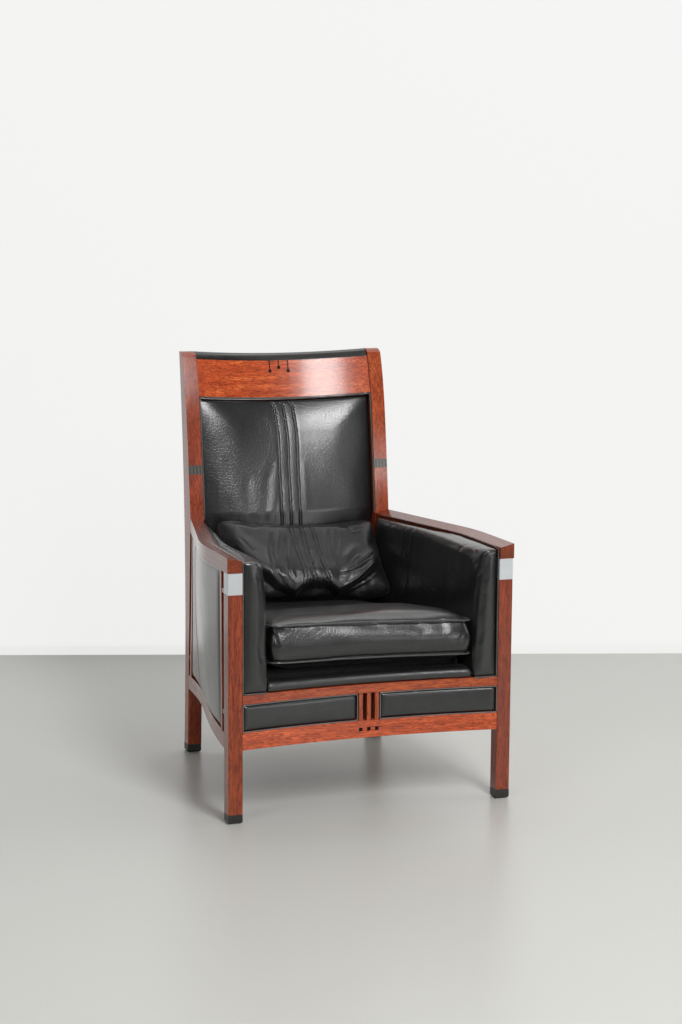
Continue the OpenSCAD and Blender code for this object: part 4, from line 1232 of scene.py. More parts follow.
@dataclass
class BackUpholstery:
    """The padded back with its three sewn channels, the welt round it and the outer back."""

    half: float = 241.3
    low: float = 300.0
    pitch: float = 26.0
    gap: float = 1.0
    hollow: float = 36.0
    hollow_fall: float = 0.14
    edge_set: float = 8.0
    proud: float = 2.0
    lip_depth: float = 5.0
    lip_reach: float = 8.0
    side_crown: float = 16.0
    side_reach: float = 110.0
    top_crown: float = 13.0
    top_reach: float = 85.0
    seam_apart: float = 3.0
    seam_depth: float = 2.2
    rib: float = 0.6
    gather_low: float = 838.0
    gather_pitch: float = 7.6
    board_set: float = 16.0
    board_hollow: float = 38.0
    rail_thick: float = 24.0
    welt: float = 2.2
    drift: tuple[Point, ...] = ((300, 0), (635, -0.3), (735, 2.0), (845, 6.0), (922, 3.0), (948, -4.5))

    def crest_low(self, x: float) -> float:
        """Lower edge of the crest rail over x."""
        back = LINES.crest_front(x) + self.rail_thick
        return LINES.crest_z - self.gap - back * math.sin(math.radians(LINES.crest_lean))

    def pad_y(self, x: float, z: float) -> float:
        """Distance back of the pad's plain front: a hollow that flattens out towards the posts.

        Args:
            x: Distance from the middle in millimetres.
            z: Height in millimetres.

        Returns:
            The distance in millimetres.
        """
        share = x / LINES.post_inner
        hollow = mix(1 - share**2, math.cos(math.pi / 2 * share) ** 2, 0.7)
        deep = self.hollow - self.hollow_fall * (LINES.crest_z - z)
        return LINES.post_front(z) + self.edge_set - self.proud + deep * hollow

    def core_y(self, x: float, z: float) -> float:
        """Distance back of the board behind the pad.

        Args:
            x: Distance from the middle in millimetres.
            z: Height in millimetres.

        Returns:
            The distance in millimetres.
        """
        round_x = 1 - (x / LINES.post_inner) ** 2
        rise = clamp((z - LINES.rail_low) / (LINES.crest_z - LINES.rail_low)) ** 1.5
        return LINES.post_rear(z) - self.board_set + self.board_hollow * round_x * rise

    def columns(self) -> list[float]:
        """Shares across, closest at the channels and the edges.

        Returns:
            The shares, from 0 to 1.
        """
        marks: list[float] = []
        x = -self.half
        while x < self.half - 0.2:
            marks.append(x)
            near = min(abs(x - c) for c in (-self.pitch + 2, 2, self.pitch + 2))
            edge = self.half - abs(x)
            x += 0.9 if near < 8 else 1.4 if near < 12 else 2.4 if near < 18 or edge < 14 else 4.8
        marks.append(self.half)
        return [(m + self.half) / (2 * self.half) for m in marks]

    def rows(self) -> list[float]:
        """Shares up, closest where the channels are gathered and at the edges.

        Returns:
            The shares, from 0 to 1.
        """
        marks, z = [], 0.0
        tall = LINES.crest_z - self.low - 14
        while z < tall - 0.4:
            marks.append(z / tall)
            z += 1.9 if z > tall - 112 else 2.5 if z < 14 else 5.2
        return marks + [1.0]

    def channel_x(self, index: int, z: float) -> float:
        """Middle of a channel at height z: the channels bow a little and lean at the top.

        Args:
            index: -1, 0 or 1.
            z: Height in millimetres.

        Returns:
            The distance from the middle in millimetres.
        """
        for (z0, x0), (z1, x1) in zip(self.drift, self.drift[1:]):
            if z <= z1:
                return index * self.pitch + mix(x0, x1, ease((z - z0) / (z1 - z0)))
        return index * self.pitch + self.drift[-1][1]

    def front(self, u: float, w: float) -> Vector:
        """The pad's front: crowned towards its edges, drawn down at the welt, with sewn channels.

        Args:
            u: Share across, from 0 to 1.
            w: Share up, from 0 to 1.

        Returns:
            The point in metres.
        """
        x = mix(-self.half, self.half, u)
        top = self.crest_low(x)
        z = mix(self.low, top, w)
        edge_x, edge_top, edge_low = self.half - abs(x), top - z, z - self.low
        y = self.pad_y(x, z)
        fall_x = (1 - clamp(edge_x / self.side_reach)) ** 2 * self.side_crown
        fall_z = (1 - clamp(edge_top / self.top_reach)) ** 2 * self.top_crown
        y += (fall_x**3 + fall_z**3) ** (1 / 3)
        y += self.lip_depth * (1 - lip(edge_x, self.lip_reach) * lip(edge_top, self.lip_reach) * lip(edge_low, 12))
        y += self.channels(x, z)
        return spot(x, min(y, self.core_y(x, z) - 2), z)

    def channels(self, x: float, z: float) -> float:
        """Depth of the three double-stitched channels at a point.

        Args:
            x: Distance from the middle in millimetres.
            z: Height in millimetres.

        Returns:
            The depth in millimetres.
        """
        total = 0.0
        edge = self.crest_low(x) - z
        for index in (-1, 0, 1):
            away = x - self.channel_x(index, z)
            if abs(away) > 16:
                continue
            gathered = ease((z - self.gather_low) / 50) * ease((edge - 3) / 10)
            pucker = math.sin(2 * math.pi * (z + 4.0 * index + 1.1 * away) / self.gather_pitch)
            for seam in (-1, 1):
                q = (away - seam * self.seam_apart) / 0.9
                total += self.seam_depth * math.exp(-q * q) * ease((edge - 2) / 8)
                total += 0.55 * gathered * pucker * math.exp(-((away - seam * 5.0) / 1.9) ** 2)
            total -= (self.rib + 0.75 * pucker * gathered) * math.exp(-(away / 2.0) ** 2)
            total += 0.4 * math.exp(-(away / 8.0) ** 2)
        return total

    def rear(self, u: float, w: float) -> Vector:
        """The pad's flat rear against the board.

        Args:
            u: Share across, from 0 to 1.
            w: Share up, from 0 to 1.

        Returns:
            The point in metres.
        """
        x = mix(-self.half, self.half, u)
        z = mix(self.low, self.crest_low(x), w)
        return spot(x, self.core_y(x, z) - self.gap, z)

    def build(self) -> None:
        """Makes the pad, its welt and the outer back."""
        bm = skin_grid(self.columns(), self.rows(), self.front, self.rear)
        pad = finish_object("back_pad_leather", bm, LEATHER, 70)
        self.work(pad)
        place(pad, "frame", "leather", "back_pad", fill=0.75)
        self.welts()
        outer = padded_copy("outer_back_leather", "outer_back_panel", 4.0, 4)
        place(outer, "frame", "leather", "outer_back_panel", fill=0.4)

    def work(self, pad: bpy.types.Object) -> None:
        """Works the soft folds beside the channels into the pad.

        Args:
            pad: The pad, whose mesh is changed.
        """
        bm = bmesh.new()
        bm.from_mesh(pad.data)
        craft = Leatherwork(bm)
        craft.lines([
            Line(((276, 452), (268, 481), (266, 512), (262, 530)), Fold.CREASE, 13, 0.5),
            Line(((281, 488), (277, 505), (272, 526)), Fold.CREASE, 8, 0.25),
            Line(((249, 470), (247, 490), (250, 520)), Fold.CREASE, 14, 0.6),
            Line(((226, 452), (227, 485), (226, 518)), Fold.CREASE, 13, 0.5),
            Line(((304, 455), (306, 490), (308, 518)), Fold.RIDGE, 9, 0.4),
        ])
        craft.wave(lambda co, normal: 0.0007 * waver(co, 0.07, 3.0) if normal.y < -0.5 else 0.0)
        craft.apply()
        bm.to_mesh(pad.data)
        bm.free()

    def welts(self) -> None:
        """The thin welt along the posts and under the crest rail."""
        side = LINES.post_inner - self.welt
        heights = [mix(640, LINES.crest_z - 3, i / 40) for i in range(41)]
        up = [spot(-side, LINES.post_front(z) + 3.4, z) for z in heights]
        lean = math.radians(LINES.crest_lean)
        over = []
        for i in range(1, 60):
            x = mix(-side, side, i / 60)
            back = LINES.crest_front(x) - 0.5
            low = LINES.crest_z - back * math.sin(lean) - self.welt
            over.append(spot(x, LINES.crest_y + back * math.cos(lean), low))
        down = [Vector((-p.x, p.y, p.z)) for p in reversed(up)]
        cord = tube("back_welt_cord", up + over + down, self.welt * MM, PIPING_LEATHER_PAINTED_HIGHLIGHT)
        place(cord, "frame", "leather", "back_welt")


@dataclass
class SidePanels:
    """The crowned leather panels between the stiles, with a pleated seam and a bead along the arm."""

    near: float = 71.4
    roll: float = 8.0
    crown: float = 7.0
    thick: float = 14.0
    low: float = 223.9
    high: float = 608.6
    long: float = 550.0
    seam_low: float = 449.0
    seam_high: float = 436.0
    seam_mid: float = 442.0
    seam_width: float = 1.7
    seam_depth: float = 2.6
    rear_gap: float = 35.4
    bead: float = 1.9

    def span(self, z: float) -> tuple[float, float]:
        """Front and rear ends of the panel at height z."""
        return self.near, LINES.post_front(z) - self.rear_gap

    def front(self, u: float, w: float, side: int) -> Vector:
        """The panel's outer face.

        Args:
            u: Share along, from 0 to 1.
            w: Share up, from 0 to 1.
            side: -1 for the left side, 1 for the right one.

        Returns:
            The point in metres.
        """
        z = mix(self.low, self.high, w)
        y0, y1 = self.span(z)
        y = mix(y0, y1, u)
        edge_y, edge_z = min(u, 1 - u) * (y1 - y0), min(w, 1 - w) * (self.high - self.low)
        x = LINES.side_out(y, z) - self.roll * (1 - lip(edge_y, 26) * lip(edge_z, 16))
        swell = self.crown * (1 - (1 - clamp(u / 0.45)) ** 2.2) * (1 - ease((u - 0.66) / 0.34))
        x += swell * math.sin(math.pi * clamp(w, 0.04, 0.96)) ** 0.6
        away = y - mix(self.seam_low, self.seam_high, w) - 3.0 * math.sin(z / 19) - 1.6 * math.sin(z / 7.3)
        x -= self.seam_depth * math.exp(-(away / self.seam_width) ** 2) - 1.6 * math.exp(-((away + 7) / 5) ** 2)
        x += 0.8 * math.exp(-((away - 10) / 7) ** 2) * math.sin(z / 31 + away / 9)
        return spot(side * x, y, z)

    def rear(self, u: float, w: float, side: int) -> Vector:
        """The panel's inner face, on its board.

        Args:
            u: Share along, from 0 to 1.
            w: Share up, from 0 to 1.
            side: -1 for the left side, 1 for the right one.

        Returns:
            The point in metres.
        """
        z = mix(self.low, self.high, w)
        y0, y1 = self.span(z)
        y = mix(y0, y1, u)
        return spot(side * (LINES.side_out(y, z) - self.thick), y, z)

    def columns(self) -> list[float]:
        """Shares along the panel, closest at the seam and the ends.

        Returns:
            The shares, from 0 to 1.
        """
        marks, y = [], 0.0
        while y < self.long - 0.5:
            marks.append(y / self.long)
            near = abs(y + self.near - self.seam_mid)
            y += 1.2 if near < 14 else 2.5 if near < 24 or min(y, self.long - y) < 20 else 6.0
        return marks + [1.0]

    def build(self) -> None:
        """Makes both panels and their beads."""
        for side, name in ((-1, "left"), (1, "right")):
            bm = skin_grid(self.columns(), edged(56, 0.06, 7), lambda u, w: self.front(u, w, side),
                           lambda u, w: self.rear(u, w, side))
            panel = finish_object(f"side_panel_leather_{name}", bm, LEATHER, 70)
            place(panel, "frame", "leather", f"side_panel_{name}", fill=0.5)
            y0, y1 = self.span(self.high)
            path = [spot(side * (LINES.side_out(y, self.high) - 2.6), y, self.high - 2.4)
                    for y in (mix(y0, y1, i / 60) for i in range(61))]
            place(tube(f"side_bead_{name}", path, self.bead * MM, PIPING_LEATHER_PAINTED_HIGHLIGHT), "frame", "leather")


@dataclass
class FrontPanels:
    """The two framed leather panels in the front rail, and the roll over it."""

    near: float = 28.0
    bead: float = 3.0
    bead_radius: float = 1.45
    bead_corner: float = 2.5
    clear: float = 0.4
    thick: float = 16.0
    low: float = 222.0
    high: float = 290.0
    set_back: float = 2.0
    roll: float = 5.0
    crown: float = 2.5

    def inside(self, u: float, w: float) -> Point:
        """Distance across and height of a panel's point inside its bead.

        Args:
            u: Share across.
            w: Share up.

        Returns:
            x and z in millimetres.
        """
        rim = self.bead + self.clear
        return mix(self.near + rim, LINES.leg_inner - rim, u), mix(self.low + rim, self.high - rim, w)

    def front(self, u: float, w: float, side: int) -> Vector:
        """A panel's face.

        Args:
            u: Share across, from 0 to 1.
            w: Share up, from 0 to 1.
            side: -1 for the left side, 1 for the right one.

        Returns:
            The point in metres.
        """
        x, z = self.inside(u, w)
        edge = rounding(u, 0.035) * rounding(w, 0.15)
        y = LINES.rail_front(x) + self.set_back + self.roll * (1 - edge)
        y -= self.crown * math.sin(math.pi * u) ** 0.5 * math.sin(math.pi * w)
        y += 0.5 * waver(spot(x, 0, z), 0.03, 5.0 + side)
        return spot(side * x, y, z)

    def rear(self, u: float, w: float, side: int) -> Vector:
        """A panel's flat rear."""
        x, z = self.inside(u, w)
        return spot(side * x, LINES.rail_front(x) + self.set_back + self.thick, z)

    def frame_path(self, side: int) -> list[Vector]:
        """Middle line of the bead round a panel.

        Args:
            side: -1 for the left side, 1 for the right one.

        Returns:
            Its points in metres.
        """
        inset, r = self.bead / 2, self.bead_corner
        x0, x1 = self.near + inset, LINES.leg_inner - inset
        z0, z1 = self.low + inset, self.high - inset
        corners = [(x0 + r, z0), (x1 - r, z0), (x1, z0 + r), (x1, z1 - r), (x1 - r, z1), (x0 + r, z1), (x0, z1 - r),
                   (x0, z0 + r)]
        path = []
        for (xa, za), (xb, zb) in zip(corners, corners[1:] + corners[:1]):
            count = max(2, round(math.hypot(xb - xa, zb - za) / 6))
            for i in range(count):
                x, z = mix(xa, xb, i / count), mix(za, zb, i / count)
                path.append(spot(side * x, LINES.rail_front(x) + 1.4, z))
        return path

    def build(self) -> None:
        """Makes both panels, their beads and the roll."""
        for side, name in ((-1, "left"), (1, "right")):
            bm = skin_grid(edged(90, 0.035, 6), edged(20, 0.15, 6), lambda u, w: self.front(u, w, side),
                           lambda u, w: self.rear(u, w, side))
            panel = finish_object(f"front_panel_leather_{name}", bm, LEATHER, 70)
            place(panel, "frame", "leather", f"front_panel_{name}", fill=0.6)
            path = self.frame_path(side)
            bead = tube(f"front_bead_cord_{name}", path, self.bead_radius * MM, BEAD_PAINTED_HIGHLIGHT, closed=True)
            place(bead, "frame", "panel_bead", f"front_bead_{name}")
        roll = padded_copy("seat_roll_leather", "seat_bolster", 3.0, 4)
        dress(roll, LEATHER_ROLL)
        work_over(roll, lambda craft: craft.wave(lambda co, normal: 0.0005 * waver(co, 0.04, 2.0)))
        place(roll, "frame", "leather", "seat_bolster", fill=0.8)
        deck = padded_copy("seat_deck_cloth", "seat_deck", 8.0, 2)
        dress(deck, LINING)
        place(deck, "frame", "deck_cloth", "seat_deck", fill=0.6)


@dataclass
class ArmPads:
    """The thick pads inside the arms, piped along their front, with a gathered seam."""

    seams: tuple[Point, ...] = ((398.0, 388.0), (444.0, 408.0))
    puckers: int = 46
    shoulder: float = 9.0
    bead: float = 1.9
    top_bead: float = 1.1
    foot_bead: float = 1.7
    foot_z: float = 314.0
    top_z: float = 630.0

    def on_pad(self, craft: Leatherwork, side: int, points: Sequence[Point]) -> list[Vector]:
        """Points of the pad's inner face.

        Args:
            craft: The pad's surface.
            side: -1 for the left pad, 1 for the right one.
            points: Distances back and heights in millimetres.

        Returns:
            The points that lie on the pad, in metres.
        """
        hits = (craft.tree.ray_cast(spot(0, y, z), Vector((side, 0, 0)))[0] for y, z in points)
        return [hit for hit in hits if hit is not None]

    def build(self) -> None:
        """Makes both pads and their piping."""
        for side, name in ((-1, "left"), (1, "right")):
            pad = padded_copy(f"arm_pad_leather_{name}", f"arm_pad_{name}", 5.0, 5, 1.0)
            if side < 0:
                self.fill_shoulder(pad)
            Stuffing(3.0, 3.0, 12).blow(pad, lambda co: 1.0 if abs(co.x) > 0.318 else 0.0)
            work_over(pad, lambda craft: self.work(craft, side))
            place(pad, "frame", "leather", f"arm_pad_{name}", fill=0.8)
            self.piping(side, name)

    def fill_shoulder(self, pad: bpy.types.Object) -> None:
        """Fills the left pad's front shoulder, which is fuller in the photograph than the right one's.

        Args:
            pad: The left pad, whose mesh is changed.
        """
        for v in pad.data.vertices:
            front = 1 - ease((v.co.y / MM - FRONT_Y - 150) / 250)
            high = mix(0.3, 1.0, ease((v.co.z / MM - 400) / 140))
            inner = clamp((v.co.x / MM + LINES.leg_inner) / 40)
            v.co.x += self.shoulder * MM * front * high * inner

    def work(self, craft: Leatherwork, side: int) -> None:
        """Works the gathered double seam and soft waves into a pad.

        Args:
            craft: The pad's surface.
            side: -1 for the left side, 1 for the right one.
        """
        chance = random.Random(11 if side > 0 else 12)
        for y0, y1 in self.seams:
            path = self.on_pad(craft, side, [(mix(y0, y1, ease(i / 80)), mix(633, 330, i / 80)) for i in range(81)])
            craft.work(path, Fold.SEAM, 1.8, 3.0, 0.02)
            craft.work(path, Fold.RIDGE, 6.5, 1.2, 0.1)
        for _ in range(self.puckers):
            z = chance.uniform(345, 628)
            y = mix(self.seams[0][1], self.seams[1][0], 0.5) + chance.uniform(-26, 26) + 0.12 * (z - 480)
            slope = chance.choice((-1, 1)) * chance.uniform(0.3, 0.7)
            reach = chance.uniform(9, 19)
            steps = (-reach, -reach / 2, 0, reach / 2, reach)
            path = self.on_pad(craft, side, [(y + slope * t, z + t) for t in steps])
            craft.work(path, Fold.CREASE, 2.2, chance.uniform(0.9, 1.7), 0.4)
        craft.wave(lambda co, normal: 0.0009 * waver(co, 0.09, 4.0) + 0.0003 * waver(co, 0.03, 7.0))

    def piping(self, side: int, name: str) -> None:
        """The bead up the pad's outer front edge and over its top.

        Args:
            side: -1 for the left side, 1 for the right one.
            name: The side's name.
        """
        x = LINES.leg_inner - 2.2
        path = [spot(side * x, 3.0, mix(self.foot_z, self.top_z, i / 40)) for i in range(41)]
        place(tube(f"arm_bead_{name}", path, self.bead * MM, PIPING_LEATHER_PAINTED_HIGHLIGHT), "frame", "leather")
        over = [spot(side * (LINES.arm_out(y) - 37 - 2.0), y, mix(631.5, 636, ease(y / 40)))
                for y in (mix(3, 600, i / 60) for i in range(61))]
        place(tube(f"arm_top_bead_{name}", over, self.top_bead * MM, PIPING_LEATHER_PAINTED_HIGHLIGHT), "frame", "leather")
        foot = [spot(side * mix(x, 266, i / 12), 4.0, self.foot_z + 0.2) for i in range(13)]
        place(tube(f"arm_foot_bead_{name}", foot, self.foot_bead * MM, PIPING_LEATHER_PAINTED_HIGHLIGHT), "frame", "leather")


@dataclass
class SeatCushion:
    """The loose box cushion with a welt round its top and bottom edges."""

    front_y: float = 15.0
    depth: float = 578.0
    width: float = 516.0
    back_width: float = 404.0
    corner: float = 26.0
    skew: float = 10.0
    shift: float = 4.0
    pull: float = 5.0
    low: float = 17.0
    box: float = 87.0
    lift_low: float = 6.0
    lift_top: float = 10.0
    deck_front: float = 352.0
    deck_y0: float = 84.0
    fall: float = 0.09
    welt: float = 2.5
    swell: float = 9.0
    rise: float = 5.5
    crown_top: float = 10.5

    def half(self, y: float) -> float:
        """Half the cushion's width at distance y."""
        t = clamp((y - self.front_y - 120) / (self.depth - 120))
        return mix(self.width, self.back_width, t) / 2

    def outline(self, count: int) -> list[Point]:
        """Unit outline with round corners, clockwise from above.

        Args:
            count: How many steps each straight side has.

        Returns:
            Points from -1 to 1 across and along.
        """
        rx, ry = 2 * self.corner / self.width, 2 * self.corner / self.depth
        points: list[Point] = []
        for q in range(4):
            sx, sy = (1 if q < 2 else -1), (1 if q in (0, 3) else -1)
            for i in range(9):
                a = math.radians(90 - 90 * q - 90 * i / 8)
                points.append((sx * (1 - rx) + rx * math.cos(a), sy * (1 - ry) + ry * math.sin(a)))
            for i in range(1, count):
                t = mix(1, -1, i / count)
                points.append([(1, t * (1 - ry)), (t * (1 - rx), -1), (-1, -t * (1 - ry)), (-t * (1 - rx), 1)][q])
        return points

    def at(self, unit: Point, grow: float, base: float, lift: float) -> Vector:
        """A point of the cushion's edge over the plan.

        Args:
            unit: Point of the unit outline.
            grow: How far out it is moved, in millimetres.
            base: Height over the deck in millimetres.
            lift: How much higher the left edge is, in millimetres.

        Returns:
            The point in metres.
        """
        u, v = unit
        y = self.front_y + self.depth / 2 * (1 + v)
        side = 1 - v * v if abs(u) > 0.98 else 0.0
        end = 1 - u * u if abs(v) > 0.98 else 0.0
        x = self.shift + u * (self.half(y) + grow - self.pull * side)
        y = y + (self.pull if v < 0 else -self.pull) * end - self.skew * u * (1 - v) / 2
        z = self.ground(y) + 0.4 + base - lift * x / (self.width / 2)
        return spot(x, y, z + self.tilt(x) * self.ahead(y))

    def ground(self, y: float) -> float:
        """Height of the deck under the cushion at distance y."""
        return self.deck_front - self.fall * (y - self.deck_y0)

    def tilt(self, x: float) -> float:
        """How far the cushion's front is raised at x."""
        return self.rise * ease((x + self.width / 2) / 270)

    def ahead(self, y: float) -> float:
        """How far a point lies ahead of the pillow, from 0 to 1."""
        return 1 - ease((y - 180) / 170)

    def plump(self, obj: bpy.types.Object) -> None:
        """Lifts the front as the welts lie, and crowns the top between its edges.

        Args:
            obj: The cushion, whose mesh is changed.
        """
        edge = nearest(self.welt_path(True, 0))
        for v, normal in zip(obj.data.vertices, [v.normal.copy() for v in obj.data.vertices]):
            x, y, z = v.co.x / MM, v.co.y / MM - FRONT_Y, v.co.z / MM
            up = self.tilt(x) * ease((z - self.ground(y)) / self.low)
            inner = edge.find(v.co)[2] / MM
            up += self.crown_top * (1 - math.exp(-inner / 23)) * ease((normal.z - 0.3) / 0.5)
            v.co.z += up * self.ahead(y) * MM

    def welt_path(self, top: bool, grow: float = 2.0) -> list[Vector]:
        """Middle line of the upper or the lower welt.

        Args:
            top: Whether it is the upper one.
            grow: How far out it lies, in millimetres.

        Returns:
            Its points in metres.
        """
        base = self.low + (self.box if top else 0)
        lift = self.lift_top if top else self.lift_low
        path = [self.at(p, grow, base, lift) for p in self.outline(44)]
        for p in path:
            p.z += 0.0011 * waver(p, 0.07, 9.0 if top else 12.0)
        return path

    def build(self) -> None:
        """Makes the cushion and its welts."""
        obj = padded_copy("seat_cushion_leather", "seat_cushion", 5.0, 4, 2.0)
        seams = nearest(self.welt_path(True, 0) + self.welt_path(False, 0))
        Stuffing(4.0, 3.5, 12).blow(obj, lambda co: clamp(1.6 - seams.find(co)[2] / 0.006))
        self.plump(obj)
        even_out(obj, 10)
        work_over(obj, self.work)
        place(obj, "seat_cushion", "leather", "seat_cushion", fill=0.75)
        for top, name in ((True, "top"), (False, "bottom")):
            cord = tube(f"cushion_welt_{name}", self.welt_path(top), self.welt * MM, WELT_LEATHER_PAINTED_HIGHLIGHT, closed=True)
            place(cord, "seat_cushion", "leather")

    def crown(self, co: Vector, normal: Vector) -> float:
        """How far the front swells between the welts, with the slow waves of the whole cover, in metres.

        Args:
            co: A point of the cover.
            normal: Its normal.

        Returns:
            The height in metres.
        """
        slow = 0.0006 * waver(co, 0.14, 1.0)
        y = co.y / MM - FRONT_Y
        x = co.x / MM
        base = self.ground(y) - self.lift_low * x / (self.width / 2)
        base += self.tilt(x)
        share = clamp((co.z / MM - base - self.low - 3) / (self.box - 6))
        round_front = max(0.0, math.sin(math.pi * share**0.7)) ** 1.2
        return slow + self.swell * MM * round_front * ease((-normal.y - 0.3) / 0.5)

    def work(self, craft: Leatherwork) -> None:
        """Works the seams beside the welts and the wrinkles at the corners into the cushion.

        Args:
            craft: The cushion's surface.
        """
        for top in (True, False):
            path = [craft.tree.find_nearest(p)[0] for p in self.welt_path(top, 0)]
            craft.work(path + path[:1], Fold.SEAM, 3.0, 1.8, 0)
        craft.lines([
            Line(((269, 630), (276, 637), (279, 648)), Fold.CREASE, 4, 0.8),
            Line(((464, 628), (458, 640), (460, 652)), Fold.CREASE, 5, 0.4),
        ])
        craft.wave(self.crown)


@dataclass
class LumbarPillow:
    """The loose pillow with three sewn channels, wrinkled and slumped in the corner of seat and back."""

    channels: tuple[tuple[Point, ...], ...] = (
        ((291, 527), (298, 552), (306.5, 578)), ((301, 526), (307, 552), (315.5, 579)),
        ((311, 526), (319, 552), (330, 581)))
    edge: tuple[Point, ...] = (
        (236, 545), (255, 560), (264, 566), (277, 577), (290, 585), (296, 588), (303, 582), (310, 578), (318, 576.5),
        (326, 577.5), (332, 580.5), (339, 586), (350, 582), (361, 573), (370, 565), (377, 556), (390, 543))
    fill: float = 7.0
    tuck_in: float = 14.0

    def under(self, co: Vector) -> float:
        """How far below the cover's lower front edge a point is seen, in pixels.

        Args:
            co: A point of the cover.

        Returns:
            The distance in pixels, below 0 above the edge.
        """
        px, py = VIEW.pixel(co)
        for (x0, y0), (x1, y1) in zip(self.edge, self.edge[1:]):
            if px <= x1:
                return py - mix(y0, y1, clamp((px - x0) / (x1 - x0)))
        return py - self.edge[-1][1]

    def turn_under(self, co: Vector, normal: Vector) -> float:
        """Height in metres that fills the cover above its lower front edge and draws it in below.

        Args:
            co: A point of the cover.
            normal: Its normal.

        Returns:
            The height in metres.
        """
        away = self.under(co)
        tuck_in = self.tuck_in * (1 - 0.8 * ease((VIEW.pixel(co)[0] - 344) / 22))
        height = self.fill * ease(1 + away / 22) if away < 0 else mix(self.fill, -tuck_in, ease(away / 15))
        level = (VIEW.eye - co) * Vector((1, 1, 0))
        facing = ease((normal.dot(level.normalized()) + 0.05) / 0.35)
        return height * facing * MM

    def build(self) -> None:
        """Makes the pillow."""
        obj = padded_copy("lumbar_pillow_leather", "lumbar_pillow", 4.5, 3, 2.0)
        Stuffing(4.0, 7.0, 16, 0.03).blow(obj)
        even_out(obj, 4)
        work_over(obj, self.work, narrow=self.channels)
        dress(obj, LEATHER_PILLOW)
        place(obj, "lumbar_pillow", "leather", "lumbar_pillow", fill=0.55)

    def work(self, craft: Leatherwork) -> None:
        """Works the channels, the gathers and the folds of the photograph into the pillow.

        Args:
            craft: The pillow's surface.
        """
        for points in self.channels:
            for shift in (-1.7, 1.7):
                path = craft.on_view([(x + shift, y) for x, y in points], 1.0)
                craft.work(path, Fold.SEAM, 1.3, 2.2, 0.02, 0.35, 5.0)
            craft.work(craft.on_view(points, 1.0), Fold.RIDGE, 3.5, 0.7, 0.05)
        for k in range(9):
            x = 303 + 3.3 * k
            craft.work(craft.on_view(((x + 0.6, 576), (x, 592)), 1.0), Fold.CREASE, 1.7, 2.2, 0.3)
        craft.wave(self.turn_under)
        craft.lines([
            Line(((337, 569), (346, 569), (358, 564), (367, 557), (373, 550)), Fold.RIDGE, 3.4, 3.0),
            Line(((337, 573), (348, 573), (361, 568), (371, 560)), Fold.CREASE, 4.0, 2.8),
            Line(((339, 588), (350, 582), (361, 575), (370, 567), (376, 561)), Fold.RIDGE, 3.6, 3.2),
            Line(((341, 592), (353, 587), (366, 579), (378, 569)), Fold.CREASE, 4.5, 2.6),
            Line(((345, 566), (347, 556), (354, 547), (362, 545)), Fold.RIDGE, 11, 2.6, 0.4),
            Line(((352, 567), (357, 560), (363, 556)), Fold.CREASE, 5, 1.2),
            Line(((239, 537), (247, 546), (257, 555)), Fold.CREASE, 5, 1.6),
            Line(((246, 551), (257, 560), (272, 569)), Fold.RIDGE, 3.5, 1.4),
            Line(((279, 528), (277, 550), (279, 571)), Fold.RIDGE, 6, 1.8),
            Line(((286, 534), (285, 556), (289, 574), (296, 588)), Fold.CREASE, 7, 2.6),
            Line(((272, 530), (271, 552), (276, 574), (290, 590)), Fold.CREASE, 7, 2.4),
            Line(((283, 572), (289, 579), (296, 586)), Fold.RIDGE, 3.5, 2.2),
            Line(((329, 527), (330, 548), (334, 567)), Fold.CREASE, 6, 1.8),
            Line(((336, 527), (338, 540), (337, 556)), Fold.CREASE, 5, 1.2),
            Line(((340, 524), (352, 530), (366, 527)), Fold.CREASE, 5, 1.6),
            Line(((376, 540), (380, 549), (377, 560)), Fold.CREASE, 6, 2.0),
        ])
        craft.wave(lambda co, normal: 0.0012 * waver(co, 0.07, 2.0) + 0.0003 * waver(co, 0.025, 8.0))


@dataclass(frozen=True)
class Card:
    """A soft lamp that faces a point, seen from the point in a given direction.

    The azimuth is in degrees to the right of straight ahead of the chair, the elevation in degrees above the point,
    the distance and the size in metres, and a brightness of 1 is a lit white wall.
    """

    name: str
    aim: tuple[float, float, float]
    azimuth: float
    elevation: float
    distance: float
    size: tuple[float, float]
    bright: float


